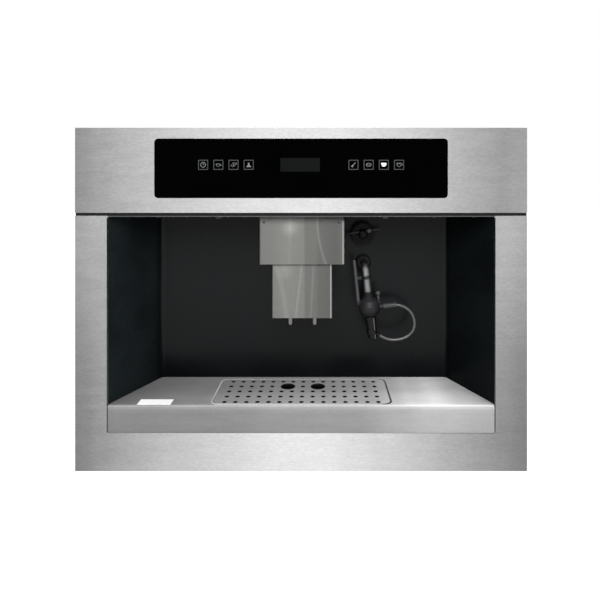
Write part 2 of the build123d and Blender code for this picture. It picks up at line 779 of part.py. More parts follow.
def tray_platform():
    """Stainless platform and fascia folded from one sheet, with a stepped well for the grid."""
    z0 = OPENING_BOTTOM + RUN
    solid = in_plan(tray_plan(0), z0, TRAY_TOP)
    front_top = solid.edges().filter_by(Axis.X).group_by(Axis.Y)[0].sort_by(Axis.Z)[-1]
    solid = fillet(front_top, TRAY_BEND_R)
    hollow = in_plan(tray_plan(FRONT_SHEET), z0, TRAY_TOP - FRONT_SHEET)
    hollow_top = hollow.edges().filter_by(Axis.X).group_by(Axis.Y)[0].sort_by(Axis.Z)[-1]
    hollow = fillet(hollow_top, TRAY_BEND_R - FRONT_SHEET)
    behind = block(
        -NICHE_BACK_W / 2 + NICHE_CORNER_R, NICHE_BACK_W / 2 - NICHE_CORNER_R,
        NICHE_BACK - 2 * NICHE_CORNER_R, NICHE_BACK, z0, TRAY_TOP - FRONT_SHEET,
    )
    tray = solid - hollow - behind
    floor_z = TRAY_TOP - GRID_LEDGE
    well = in_plan(grid_outline(RUN + FRONT_SHEET), floor_z - FRONT_SHEET, TRAY_TOP - FRONT_SHEET)
    tray += well
    tray -= in_plan(grid_outline(RUN), floor_z, TRAY_TOP)
    tray -= in_plan(grid_outline(-GRID_LEDGE_W), floor_z - FRONT_SHEET, floor_z)
    return tray


def grid_outline(grow):
    width = GRID_W + 2 * grow
    depth = GRID_D + 2 * grow
    return rounded(width, depth, GRID_R + grow, 0, GRID_Y)


def drip_pan():
    """Black moulded pan under the grid, open at the top."""
    z0 = OPENING_BOTTOM + RUN
    z1 = TRAY_TOP - GRID_LEDGE - FRONT_SHEET
    y0 = Y_FRONT + TRAY_RECESS + FRONT_SHEET
    y1 = NICHE_BACK - PAN_BACK_GAP
    outer = in_plan(rounded(PAN_W, y1 - y0, 6, 0, (y0 + y1) / 2), z0, z1)
    inner = in_plan(
        rounded(PAN_W - 2 * PAN_WALL, y1 - y0 - 2 * PAN_WALL, 6 - PAN_WALL, 0, (y0 + y1) / 2),
        z0 + PAN_WALL, z1,
    )
    return outer - inner


def drip_grid():
    """Pierced stainless grid with a folded rim and two larger drip holes under the nozzles."""
    top = TRAY_TOP + GRID_RISE
    plate = in_plan(grid_outline(0), top - FRONT_SHEET, top)
    rim = grid_outline(0) - grid_outline(-FRONT_SHEET)
    plate += in_plan(rim, top - GRID_RIM, top)
    drip_y = Y_FRONT + HOLE_FIRST_ROW + DRIP_HOLE_ROW * HOLE_PITCH_Y
    holes = Sketch()
    for x in (-DRIP_HOLE_X, DRIP_HOLE_X):
        holes += Pos(x, drip_y) * Circle(DRIP_HOLE_R)
    for row in range(HOLE_ROWS):
        y = Y_FRONT + HOLE_FIRST_ROW + row * HOLE_PITCH_Y
        for column in range(HOLE_COLUMNS):
            x = (column - (HOLE_COLUMNS - 1) / 2) * HOLE_PITCH_X
            reach = min(math.hypot(x - s * DRIP_HOLE_X, y - drip_y) for s in (-1, 1))
            if reach > DRIP_HOLE_R + HOLE_R + 1:
                holes += Pos(x, y) * RegularPolygon(HOLE_R, 8)
    return plate - in_plan(holes, top - FRONT_SHEET, top)


# ---------------------------------------------------------------- spout
def spout_cover():
    """Fixed upper hood: a sheet folded round three sides, standing off the niche's back wall."""
    y0 = Y_FRONT + COVER_FRONT
    plan = Pos(0, (y0 + NICHE_BACK) / 2) * Rectangle(COVER_W, NICHE_BACK - y0)
    front = [v for v in plan.vertices() if v.Y < y0 + 1]
    plan = fillet(front, SPOUT_BEND_R)
    inner = Pos(0, (y0 + NICHE_BACK) / 2 + FRONT_SHEET / 2) * Rectangle(
        COVER_W - 2 * FRONT_SHEET, NICHE_BACK - y0 - FRONT_SHEET
    )
    front = [v for v in inner.vertices() if v.Y < y0 + 2 * FRONT_SHEET]
    inner = fillet(front, SPOUT_BEND_R - FRONT_SHEET)
    cover = in_plan(plan, COVER_BOTTOM, OPENING_TOP)
    cover -= in_plan(inner, COVER_BOTTOM + FRONT_SHEET, OPENING_TOP)
    slider0 = Y_FRONT + SLIDER_FRONT - RUN
    well = Pos(0, (slider0 + SLIDER_BACK) / 2) * Rectangle(
        SLIDER_W + 2 * RUN, SLIDER_BACK - slider0 + 2 * RUN
    )
    well += Pos(0, (SLIDER_BACK + NICHE_BACK) / 2) * Rectangle(
        GUIDE_W + 2 * RUN, NICHE_BACK - SLIDER_BACK
    )
    return cover - in_plan(well, COVER_BOTTOM, COVER_BOTTOM + FRONT_SHEET)


def spout_slider():
    """Lower sleeve that is pushed up into the hood: front, sides and a floor for the nozzles."""
    y0 = Y_FRONT + SLIDER_FRONT
    top = SLIDER_BOTTOM + SLIDER_H
    plan = Pos(0, y0 + SLIDER_D / 2) * Rectangle(SLIDER_W, SLIDER_D)
    front = [v for v in plan.vertices() if v.Y < y0 + 1]
    plan = fillet(front, SPOUT_BEND_R)
    inner = Pos(0, y0 + SLIDER_D / 2 + FRONT_SHEET / 2) * Rectangle(
        SLIDER_W - 2 * FRONT_SHEET, SLIDER_D - FRONT_SHEET
    )
    front = [v for v in inner.vertices() if v.Y < y0 + 2 * FRONT_SHEET]
    inner = fillet(front, SPOUT_BEND_R - FRONT_SHEET)
    slider = in_plan(plan, SLIDER_BOTTOM, top) - in_plan(inner, MANIFOLD_BOTTOM, top)
    for x in (-NOZZLE_X, NOZZLE_X):
        slider -= upright(NOZZLE_R + RUN, x, Y_FRONT + NOZZLE_DEPTH, SLIDER_BOTTOM, MANIFOLD_BOTTOM)
    return slider


def guide_rib(grow, z0, z1):
    """T-shaped rib of the guide, or with a gap all round the slot that runs on it."""
    y_root = SLIDER_BACK + RUN
    neck0 = y_root - RIB_NECK_T
    head0 = neck0 - RIB_HEAD_T
    stem = block(-RIB_STEM_W / 2 - grow, RIB_STEM_W / 2 + grow, neck0 - grow, y_root, z0, z1)
    head = block(-RIB_W / 2 - grow, RIB_W / 2 + grow, head0 - grow, neck0 + grow, z0, z1)
    return stem + head


def coffee_manifold():
    """Moulded divider inside the sleeve: funnel, two nozzles, and the slot for the guide rib."""
    y0 = Y_FRONT + SLIDER_FRONT + 3 * FRONT_SHEET
    half = SLIDER_W / 2 - 2 * FRONT_SHEET
    z0, z1 = MANIFOLD_BOTTOM, MANIFOLD_BOTTOM + MANIFOLD_H
    body = block(-half, half, y0, SLIDER_BACK, z0, z1)
    body -= guide_rib(RUN, z0, z1)
    body -= upright(LINE_R + 1.5, 0, LINE_Y, z0 + FUNNEL_FLOOR, z1)
    for x in (-NOZZLE_X, NOZZLE_X):
        y = Y_FRONT + NOZZLE_DEPTH
        body += upright(NOZZLE_R, x, y, SLIDER_BOTTOM - NOZZLE_H, z0)
        floor_z = z0 + FUNNEL_FLOOR
        body -= upright(NOZZLE_BORE_R, x, y, SLIDER_BOTTOM - NOZZLE_H, floor_z + 2)
        r = NOZZLE_BORE_R
        body -= block(min(0, x), max(0, x), LINE_Y - r, LINE_Y + r, floor_z, floor_z + 2 * r)
        body -= block(x - r, x + r, LINE_Y - r, y, floor_z, floor_z + 2 * r)
    return body


def spout_guide():
    """Guide column on the niche's back wall."""
    z1 = OPENING_TOP
    z0 = z1 - GUIDE_H
    y_root = SLIDER_BACK + RUN
    column = block(-GUIDE_W / 2, GUIDE_W / 2, y_root, NICHE_BACK, z0, z1)
    return column + guide_rib(0, z0, z1)


def coffee_line():
    """Fixed tube from the brewing unit over the niche and down into the funnel."""
    z_run = max(OPENING_TOP + LINER_T, BREW_TOP) + LINE_RISE
    bottom = MANIFOLD_BOTTOM + FUNNEL_FLOOR + SPOUT_TRAVEL + NOZZLE_BORE_R
    outlet_x = BREW_LEFT + 3 * LINE_R
    outlet_y = BREW_Y - BREW_HALF_D + 3 * LINE_R
    points = [
        (0, LINE_Y, bottom),
        (0, LINE_Y, z_run),
        (outlet_x, outlet_y, z_run),
        (outlet_x, outlet_y, BREW_TOP),
    ]
    return tube(points, LINE_R, 0, 2 * LINE_R)


def tube(points, outer, bore, bend):
    """A pipe of straight runs and round bends."""
    path = FilletPolyline(*points, radius=bend)
    start = Plane(origin=path @ 0, z_dir=path % 0)
    section = Circle(outer) - Circle(bore) if bore else Circle(outer)
    return sweep(start * section, path)


# ---------------------------------------------------------------- steam
def rosette():
    """Round swivel housing of the wand on the niche's back wall."""
    y0 = NICHE_BACK - ROSETTE_T
    body = along_y(ROSETTE_R, WAND_X, y0, NICHE_BACK, WAND_Z)
    body = chamfer(body.edges().group_by(Axis.Y)[0], ROSETTE_EDGE)
    return body - along_y(PIPE_R + FIT, WAND_X, y0, NICHE_BACK, WAND_Z)


def steam_knob():
    """Knob of the steam valve: ribbed rim, finger bar and shaft."""
    y1 = NICHE_BACK - RUN
    y0 = y1 - KNOB_T
    knob = along_y(KNOB_R, KNOB_X, y0, y1, KNOB_Z)
    knob = chamfer(knob.edges().group_by(Axis.Y)[0], KNOB_EDGE)
    for n in range(KNOB_FLUTES):
        angle = 2 * math.pi * (n + 0.5) / KNOB_FLUTES
        x = KNOB_X + (KNOB_R + FLUTE_R / 2) * math.cos(angle)
        z = KNOB_Z + (KNOB_R + FLUTE_R / 2) * math.sin(angle)
        knob -= along_y(FLUTE_R, x, y0, y1, z)
    dish_r = KNOB_R - 2 * KNOB_EDGE
    knob -= along_y(dish_r, KNOB_X, y0, y0 + KNOB_DISH, KNOB_Z)
    bar_half = KNOB_DISH * 0.8
    bar_z = dish_r + KNOB_EDGE / 3
    knob += block(
        KNOB_X - bar_half, KNOB_X + bar_half, y0, y0 + KNOB_DISH, KNOB_Z - bar_z, KNOB_Z + bar_z
    )
    return knob + along_y(KNOB_SHAFT_R, KNOB_X, y1, NICHE_BACK + LINER_T + VALVE_SOCKET, KNOB_Z)


def steam_valve():
    """Brass valve block behind the niche that feeds the wand, with its line from the boiler."""
    y0 = NICHE_BACK + LINER_T
    half = VALVE_HALF_W
    body = block(KNOB_X - half, KNOB_X + half, y0, y0 + VALVE_D, WAND_Z - half, KNOB_Z + half)
    body -= along_y(KNOB_SHAFT_R + FIT, KNOB_X, y0, y0 + VALVE_SOCKET + RUN, KNOB_Z)
    body -= along_y(PIPE_R + FIT, WAND_X, y0, y0 + VALVE_SOCKET + RUN, WAND_Z)
    middle_y = y0 + VALVE_D / 2
    union_z = KNOB_Z + half + UNION_H
    boiler_z = BOILER_TOP + UNION_H
    run_z = max(union_z, boiler_z) + LINE_RISE
    body += upright(UNION_R, KNOB_X, middle_y, KNOB_Z + half, union_z)
    points = [
        (BOILER_X, BOILER_Y, boiler_z),
        (BOILER_X, BOILER_Y, run_z),
        (KNOB_X, middle_y, run_z),
        (KNOB_X, middle_y, union_z),
    ]
    return body + tube(points, STEAM_LINE_R, 0, 3 * STEAM_LINE_R)


def in_wand(part):
    """Hangs a piece that is drawn below the origin on the wand's tilted axis."""
    return Pos(WAND_X, WAND_Y, WAND_Z) * Rot(0, -WAND_TILT, 0) * part


def steam_pipe():
    """Chrome pipe: out of the rosette, round a bend and down to the frother."""
    back = NICHE_BACK + LINER_T + VALVE_SOCKET - WAND_Y
    points = [(0, back, 0), (0, 0, 0), (0, 0, -PIPE_DROP)]
    return in_wand(tube(points, PIPE_R, PIPE_BORE_R, PIPE_BEND_R))


def frother_body():
    """Moulded frother: collar, domed head, tapered foot, grip lug, air boss and hose barb."""
    top = -FROTHER_TOP
    foot = top - FROTHER_H
    profile = [
        (PIPE_R + FIT, top),
        (COLLAR_R, top),
        (COLLAR_R, top - 8),
        (FROTHER_R * 0.82, top - 13),
        (FROTHER_R, top - 20),
        (FROTHER_R, top - 27),
        (FROTHER_R * 0.86, top - 32),
        (SPRAY_TOP_R, foot),
        (PIPE_BORE_R, foot),
        (PIPE_BORE_R, -PIPE_DROP - FIT),
        (PIPE_R + FIT, -PIPE_DROP - FIT),
    ]
    body = turned(profile, 0, 0, 0)
    lug_z = GRIP_TOP - GRIP_LENGTH
    body += block(-GRIP_OFFSET - GRIP_R, -COLLAR_R, -GRIP_R, GRIP_R, lug_z - 5, lug_z)
    body += upright(VALVE_PIN_R + 1, VALVE_OFFSET, 0, -VALVE_DROP - 5, -VALVE_DROP)
    x0, x1 = FROTHER_R, FROTHER_R + BARB_LENGTH
    body += along_x(BARB_R, x0 - 3, x0 + 5, 0, -BARB_DROP)
    body += along_x(BARB_R * 0.7, x0 + 5, x1 - 6, 0, -BARB_DROP)
    return in_wand(body + along_x(BARB_R * 0.85, x1 - 6, x1, 0, -BARB_DROP))


def wand_grip():
    """Cool grip rod beside the pipe, clipped to it at the top."""
    rod = upright(GRIP_R, -GRIP_OFFSET, 0, GRIP_TOP - GRIP_LENGTH, GRIP_TOP - GRIP_R)
    rod += Pos(-GRIP_OFFSET, 0, GRIP_TOP - GRIP_R) * Sphere(GRIP_R)
    z = -PIPE_BEND_R - 6
    rod += block(-GRIP_OFFSET, -PIPE_R - 1, -1.5, 1.5, z, z + 4)
    ring = upright(PIPE_R + 1.8, 0, 0, z, z + 4) - upright(PIPE_R + FIT, 0, 0, z, z + 4)
    return in_wand(rod + ring)


def spray_nozzle():
    """Dark tapered outlet under the frother, with the stub that parks the milk hose."""
    z0 = -FROTHER_TOP - FROTHER_H
    z1 = z0 - SPRAY_H
    nozzle = turned([(0, z0), (SPRAY_TOP_R, z0), (SPRAY_TOP_R, z0 - 4), (SPRAY_END_R, z1), (0, z1)], 0, 0, 0)
    collar = upright(SPRAY_TOP_R, 0, 0, -CLIP_DROP - CLIP_H / 2, -CLIP_DROP + CLIP_H / 2)
    stub = along_x(HOSE_R + 0.6, 0, STUB_END, 0, 0)
    nozzle += collar + Pos(0, 0, -CLIP_DROP) * Rot(0, STUB_ANGLE, 0) * stub
    return in_wand(nozzle - upright(SPRAY_BORE_R, 0, 0, z1, z0))


def air_valve():
    """Ball-topped air screw on the frother's shoulder."""
    z0 = -VALVE_DROP
    ball_z = z0 + VALVE_H - VALVE_BALL_R
    foot = math.asin(VALVE_PIN_R / VALVE_BALL_R) - math.pi / 2
    profile = [(0, z0 + RUN), (VALVE_PIN_R, z0 + RUN)]
    for n in range(BALL_STEPS + 1):
        angle = foot + (math.pi / 2 - foot) * n / BALL_STEPS
        profile.append((VALVE_BALL_R * math.cos(angle), ball_z + VALVE_BALL_R * math.sin(angle)))
    profile[-1] = (0, ball_z + VALVE_BALL_R)
    return in_wand(turned(profile, VALVE_OFFSET, 0, 0))


def wand_point(x, z):
    """A point of the wand's own plane, in the row frame."""
    angle = math.radians(WAND_TILT)
    return (
        WAND_X + x * math.cos(angle) - z * math.sin(angle),
        WAND_Z + x * math.sin(angle) + z * math.cos(angle),
    )


def hose_route():
    """The milk hose from the barb round to the stub on the outlet."""
    tilt = math.radians(WAND_TILT)
    x0, z0 = wand_point(FROTHER_R + BARB_LENGTH, -BARB_DROP)
    lead_in = (x0 + HOSE_LEAD_IN * math.cos(tilt), z0 + HOSE_LEAD_IN * math.sin(tilt))
    stub = math.radians(STUB_ANGLE)
    x1, z1 = wand_point(STUB_END * math.cos(stub), -CLIP_DROP - STUB_END * math.sin(stub))
    drop = stub - tilt
    lead_out = (x1 + HOSE_LEAD_OUT * math.cos(drop), z1 - HOSE_LEAD_OUT * math.sin(drop))
    middle = [(WAND_X + x, WAND_Z + z) for x, z in HOSE_ROUTE]
    plan = [(x0, z0), lead_in, *middle, lead_out, (x1, z1)]
    return [Vector(x, WAND_Y, z) for x, z in plan]


def milk_hose():
    points = hose_route()
    radii = []
    for a, b, c in zip(points, points[1:], points[2:]):
        half_turn = math.radians((b - a).get_angle(c - b)) / 2
        radii.append(0.45 * min((b - a).length, (c - b).length) / math.tan(half_turn))
    print("hose bend radii", [round(r, 1) for r in radii])
    path = FilletPolyline(*points, radius=radii)
    start = Plane(origin=path @ 0, z_dir=path % 0)
    hose = sweep(start * Circle(HOSE_R), path)
    section = math.pi * HOSE_R**2
    print("hose length", round(path.length, 1), "volume", round(hose.volume), "of",
          round(section * path.length))
    return hose


# ---------------------------------------------------------------- lids and their hinges
def lid_hinge_y(y_centre, depth):
    return y_centre + depth / 2 + RIM_W - LID_BARREL_R


def lid_ears(x, y, width):
    """Two ears on a rim that take the pins of a lid."""
    z = LID_Z + LID_BARREL_R
    ears = []
    for side in (-1, 1):
        x0 = x + side * (width / 4 + RUN)
        x1 = x0 + side * EAR_T
        left, right = min(x0, x1), max(x0, x1)
        ear = block(left, right, y - LID_BARREL_R, y + LID_BARREL_R, RIM_Z + RIM_T, z)
        ear += along_x(LID_BARREL_R, left, right, y, z)
        ears.append(ear - along_x(LID_PIN_R + FIT, left, right, y, z))
    return ears


def lid(x, y_centre, width, depth, corner):
    """A flat lid with a finger lip, a barrel and two pins at its rear edge."""
    hinge_y = lid_hinge_y(y_centre, depth)
    z = LID_Z + LID_BARREL_R
    y0 = y_centre - depth / 2 - RIM_W
    y1 = hinge_y - LID_BARREL_R - RUN
    plate = in_plan(
        rounded(width + 2 * RIM_W, y1 - y0, corner, x, (y0 + y1) / 2), LID_Z, LID_Z + LID_T
    )
    plate = chamfer(plate.edges().group_by(Axis.Z)[-1], LID_EDGE)
    half = width / 4
    barrel = along_x(LID_BARREL_R, x - half, x + half, hinge_y, z)
    barrel += block(x - half, x + half, y1 - LID_EDGE, hinge_y, z - LID_PIN_R, z + LID_PIN_R)
    reach = half + EAR_T + RUN
    pins = along_x(LID_PIN_R, x - reach, x + reach, hinge_y, z)
    lip = block(
        x - LID_LIP_W / 2, x + LID_LIP_W / 2, y0 - LID_LIP_OUT, y0 + LID_EDGE,
        LID_Z + LID_EDGE, LID_Z + LID_T - LID_EDGE,
    )
    return plate + barrel + pins + lip


def rim(x, y, width, depth, corner, wall):
    """The flange by which a box hangs in its hole in the top cover."""
    outline = rounded(width + 2 * RIM_W, depth + 2 * RIM_W, corner + RIM_W, x, y)
    inside = rounded(width - 2 * wall, depth - 2 * wall, corner - wall, x, y)
    return in_plan(outline - inside, RIM_Z, RIM_Z + RIM_T)


# ---------------------------------------------------------------- water tank
def water_tank():
    """Clear tank that is lifted out through the top, with a valve boss under its floor."""
    z0 = TANK_BOTTOM + RUN
    outer = in_plan(rounded(TANK_W, TANK_D, TANK_R, TANK_X, TANK_Y), z0, RIM_Z)
    inner = in_plan(
        rounded(
            TANK_W - 2 * TANK_WALL, TANK_D - 2 * TANK_WALL, TANK_R - TANK_WALL, TANK_X, TANK_Y
        ),
        z0 + TANK_WALL, RIM_Z,
    )
    tank = outer - inner + rim(TANK_X, TANK_Y, TANK_W, TANK_D, TANK_R, TANK_WALL)
    tank += upright(TANK_BOSS_R, TANK_X, TANK_Y, z0 - SEAT_T, z0)
    for ear in lid_ears(TANK_X, lid_hinge_y(TANK_Y, TANK_D), TANK_W):
        tank += ear
    return tank


def tank_seat():
    """Moulded pedestal that the tank stands in, hollow underneath, with the valve's socket."""
    grow = 2 * (RUN + SEAT_WALL)
    outer = in_plan(
        rounded(TANK_W + grow, TANK_D + grow, TANK_R + 2, TANK_X, TANK_Y),
        FLOOR_Z, TANK_BOTTOM + SEAT_COLLAR,
    )
    pocket = rounded(TANK_W + 2 * RUN, TANK_D + 2 * RUN, TANK_R, TANK_X, TANK_Y)
    seat = outer - in_plan(pocket, TANK_BOTTOM, TANK_BOTTOM + SEAT_COLLAR)
    seat -= in_plan(pocket, FLOOR_Z, TANK_BOTTOM - SEAT_T - RUN)
    seat -= upright(TANK_BOSS_R + RUN, TANK_X, TANK_Y, TANK_BOTTOM - 2 * SEAT_T, TANK_BOTTOM)
    cup = upright(TANK_BOSS_R + RUN + 2, TANK_X, TANK_Y, TANK_BOTTOM - 16, TANK_BOTTOM - SEAT_T)
    cup -= upright(TANK_BOSS_R + RUN, TANK_X, TANK_Y, TANK_BOTTOM - 12, TANK_BOTTOM - SEAT_T)
    return seat + cup


# ---------------------------------------------------------------- beans and grinder
def funnel(x, y, size, neck_r, heights, shrink):
    """A box with sloping walls down to a round neck, drawn smaller by the shrink for its inside."""
    width, depth, corner = size
    z_low, z_neck, z_straight = heights
    top = rounded(width - 2 * shrink, depth - 2 * shrink, corner - shrink, x, y)
    r = neck_r - shrink
    foot = rounded(2 * r, 2 * r, r / 2, x, y)
    slope = loft([Pos(0, 0, z_neck + shrink) * foot, Pos(0, 0, z_straight) * top], ruled=True)
    return in_plan(top, z_straight, RIM_Z) + slope + upright(r, x, y, z_low, z_neck + shrink)


def bean_hopper():
    """Bean hopper hung in the top cover, with a funnel down to the grinder."""
    size = (HOPPER_W, HOPPER_D, HOPPER_R)
    heights = (GRINDER_TOP, GRINDER_TOP + HOPPER_NECK_H, BODY_TOP - HOPPER_STRAIGHT)
    hopper = funnel(HOPPER_X, HOPPER_Y, size, HOPPER_NECK_R, heights, 0)
    hopper -= funnel(HOPPER_X, HOPPER_Y, size, HOPPER_NECK_R, heights, HOPPER_WALL)
    hopper += rim(HOPPER_X, HOPPER_Y, HOPPER_W, HOPPER_D, HOPPER_R, HOPPER_WALL)
    for ear in lid_ears(HOPPER_X, lid_hinge_y(HOPPER_Y, HOPPER_D), HOPPER_W):
        hopper += ear
    return hopper


def grinder_housing():
    """Cast grinder body with the burr cup, the shaft bore and the outlet to the brewing unit."""
    z0 = GRINDER_TOP - GRINDER_H
    cup_z = GRINDER_TOP - BURR_CUP_DEPTH
    body = upright(GRINDER_R, HOPPER_X, HOPPER_Y, z0, GRINDER_TOP)
    body = chamfer(body.edges().group_by(Axis.Z)[-1], GRINDER_EDGE)
    body += block(
        HOPPER_X, BREW_LEFT - RUN, HOPPER_Y - OUTLET_HALF_W, HOPPER_Y + OUTLET_HALF_W,
        z0 + OUTLET_LIFT, z0 + OUTLET_LIFT + OUTLET_H,
    )
    body -= upright(BURR_CUP_R, HOPPER_X, HOPPER_Y, cup_z, GRINDER_TOP)
    return body - upright(SHAFT_R + FIT, HOPPER_X, HOPPER_Y, z0, cup_z)


def ring_burr():
    """Fixed outer burr with a conical, grooved bore."""
    z0 = GRINDER_TOP - BURR_CUP_DEPTH
    profile = [
        (BURR_R + BURR_GAP, z0),
        (BURR_CUP_R - FIT, z0),
        (BURR_CUP_R - FIT, z0 + BURR_H),
        (BURR_R + BURR_GAP + BURR_FLARE, z0 + BURR_H),
    ]
    return turned(profile, HOPPER_X, HOPPER_Y, 0)


def cone_burr():
    """Driven inner burr: a grooved cone on its shaft."""
    z0 = GRINDER_TOP - BURR_CUP_DEPTH
    low = z0 + RUN
    profile = [
        (0, GRINDER_TOP - GRINDER_H - SHAFT_R),
        (SHAFT_R, GRINDER_TOP - GRINDER_H - SHAFT_R),
        (SHAFT_R, low),
        (BURR_R, low),
        (BURR_R, low + BURR_SKIRT),
        (BURR_R * 0.45, low + BURR_H),
        (0, low + BURR_H),
    ]
    burr = turned(profile, HOPPER_X, HOPPER_Y, 0)
    for n in range(6):
        half = BURR_GROOVE_W / 2
        groove = block(BURR_R * 0.5, BURR_R + half, -half, half, low, low + BURR_H)
        burr -= Pos(HOPPER_X, HOPPER_Y, 0) * Rot(0, 0, 60 * n) * groove
    return burr


def grinder_motor():
    z1 = GRINDER_TOP - GRINDER_H
    z0 = z1 - MOTOR_H
    motor = upright(MOTOR_R, HOPPER_X, HOPPER_Y, z0 + MOTOR_FOOT, z1)
    motor += upright(MOTOR_R * 0.6, HOPPER_X, HOPPER_Y, z0, z0 + MOTOR_FOOT)
    return motor - upright(SHAFT_R + FIT, HOPPER_X, HOPPER_Y, z1 - SHAFT_R - RUN, z1)


def grinder_stand():
    """Folded bridge on the body's floor that carries the motor and grinder."""
    top = GRINDER_TOP - GRINDER_H - MOTOR_H
    x0, x1 = HOPPER_X - MOTOR_R - STAND_REACH, HOPPER_X + MOTOR_R + STAND_REACH
    y0, y1 = HOPPER_Y - MOTOR_R - MOTOR_FOOT, HOPPER_Y + MOTOR_R + MOTOR_FOOT
    outer = block(x0, x1, y0, y1, FLOOR_Z, top)
    return outer - block(x0 + STAND_T, x1 - STAND_T, y0, y1, FLOOR_Z, top - STAND_T)


def grind_knob():
    """Grind setting knob on the top cover: shaft, skirt and finger bar."""
    z0 = BODY_TOP + BODY_SHEET + RUN
    t = GRIND_KNOB_T
    reach = GRIND_KNOB_R - t
    knob = upright(GRIND_KNOB_R, GRIND_KNOB_X, GRIND_KNOB_Y, z0, z0 + t)
    knob += block(
        GRIND_KNOB_X - t, GRIND_KNOB_X + t, GRIND_KNOB_Y - reach, GRIND_KNOB_Y + reach,
        z0 + t, z0 + GRIND_KNOB_H,
    )
    shaft_z = BODY_TOP - GRIND_KNOB_H
    return knob + upright(GRIND_KNOB_R * 0.4, GRIND_KNOB_X, GRIND_KNOB_Y, shaft_z, z0)


# ---------------------------------------------------------------- brewing unit
def brew_frame():
    """Moulded frame of the brewing unit; its lower bay holds the grounds container."""
    x0, x1 = BREW_LEFT, BODY_WALL - RUN
    y0, y1 = BREW_Y - BREW_HALF_D, BREW_Y + BREW_HALF_D
    t = BREW_PLATE_T
    frame = block(x0, x1, y0, y0 + t, FLOOR_Z, BREW_TOP)
    frame += block(x0, x1, y1 - t, y1, FLOOR_Z, BREW_TOP)
    frame += block(x0, x0 + t, y0, y1, FLOOR_Z, BREW_TOP)
    frame += block(x0, x1, y0, y1, DRAWER_BOTTOM - RUN - t, DRAWER_BOTTOM - RUN)
    frame += block(x0, x1, y0, y1, BREW_SHELF_Z - t, BREW_SHELF_Z)
    frame += block(x0, CHAMBER_LEFT - RUN, y0, y1, BREW_TOP - t, BREW_TOP)
    frame -= upright(SPINDLE_R + FIT, SPINDLE_X, BREW_Y, BREW_SHELF_Z - t, BREW_SHELF_Z)
    frame -= upright(SPINDLE_R + FIT, SPINDLE_X, BREW_Y, BREW_TOP - t, BREW_TOP)
    return frame


def brew_chamber():
    """Brewing cylinder held between the frame's two side plates."""
    t = BREW_PLATE_T
    z1 = CHAMBER_Z + CHAMBER_H
    half = BREW_HALF_D - t
    body = upright(CHAMBER_R, BREW_X, BREW_Y, CHAMBER_Z, z1 + t)
    body += block(
        BREW_X - WEB_T / 2, BREW_X + WEB_T / 2, BREW_Y - half, BREW_Y + half, z1 - CHAMBER_H / 2, z1
    )
    body -= upright(CHAMBER_BORE_R, BREW_X, BREW_Y, CHAMBER_Z, z1)
    body -= upright(CHUTE_R - CHUTE_WALL, BREW_X, BREW_Y, z1, z1 + t)
    return body


def brew_piston():
    """Piston, rod and the crosshead that rides on the spindle."""
    low = CHAMBER_Z + PISTON_ENTRY
    head = low - PISTON_ROD_H
    foot = head - CROSSHEAD_T
    half = CROSSHEAD_W / 2
    piston = upright(CHAMBER_BORE_R - FIT, BREW_X, BREW_Y, low, low + PISTON_T)
    piston += upright(PISTON_ROD_R, BREW_X, BREW_Y, head, low)
    piston += block(
        SPINDLE_X - PISTON_ROD_R, BREW_X + PISTON_ROD_R, BREW_Y - half, BREW_Y + half, foot, head
    )
    return piston - upright(SPINDLE_R + FIT, SPINDLE_X, BREW_Y, foot, head)


def brew_spindle():
    z0 = BREW_SHELF_Z - BREW_PLATE_T
    z1 = BREW_TOP + SPINDLE_SOCKET
    collar_top = BREW_SHELF_Z + SPINDLE_SOCKET
    spindle = upright(SPINDLE_R, SPINDLE_X, BREW_Y, z0, z1)
    return spindle + upright(SPINDLE_COLLAR_R, SPINDLE_X, BREW_Y, BREW_SHELF_Z + RUN, collar_top)


def brew_motor():
    z0 = BREW_TOP
    z1 = z0 + GEARBOX_H
    motor = upright(GEARBOX_R, SPINDLE_X, BREW_Y, z0, z1)
    motor += upright(GEARMOTOR_R, SPINDLE_X, BREW_Y, z1, z1 + GEARMOTOR_H)
    return motor - upright(SPINDLE_R + FIT, SPINDLE_X, BREW_Y, z0, z0 + SPINDLE_SOCKET + RUN)


def coffee_chute():
    """Funnel for ground coffee from the flap down to the brewing cylinder."""
    size = (FLAP_W, FLAP_D, FLAP_R)
    z_low = CHAMBER_Z + CHAMBER_H + BREW_PLATE_T
    heights = (z_low, BREW_TOP + CHUTE_NECK_H, BODY_TOP - CHUTE_STRAIGHT)
    chute = funnel(BREW_X, BREW_Y, size, CHUTE_R, heights, 0)
    chute -= funnel(BREW_X, BREW_Y, size, CHUTE_R, heights, CHUTE_WALL)
    chute += rim(BREW_X, BREW_Y, *size, CHUTE_WALL)
    for ear in lid_ears(BREW_X, lid_hinge_y(BREW_Y, FLAP_D), FLAP_W):
        chute += ear
    return chute


def grounds_container():
    """Drawer for used coffee with its own front, pulled out of the right side."""
    half = BREW_HALF_D - BREW_PLATE_T - RUN
    x0 = BREW_LEFT + BREW_PLATE_T + 4 * RUN
    x1 = BODY_HALF_W + RUN
    z0, z1 = DRAWER_BOTTOM, DRAWER_BOTTOM + DRAWER_H
    w = DRAWER_WALL
    box = block(x0, x1, BREW_Y - half, BREW_Y + half, z0, z1)
    box -= block(x0 + w, x1 - w, BREW_Y - half + w, BREW_Y + half - w, z0 + w, z1)
    front = in_side_view(
        Pos(BREW_Y, (z0 + z1) / 2) * RectangleRounded(2 * BREW_HALF_D, DRAWER_H + DRAWER_LAP, DOOR_R),
        x1, x1 + DOOR_T,
    )
    grip = Pos(BREW_Y, z1 - KNUCKLE_H) * SlotOverall(GRIP_SLOT_L, GRIP_SLOT_W)
    return box + front - in_side_view(grip, x1 + DOOR_T / 2, x1 + DOOR_T)


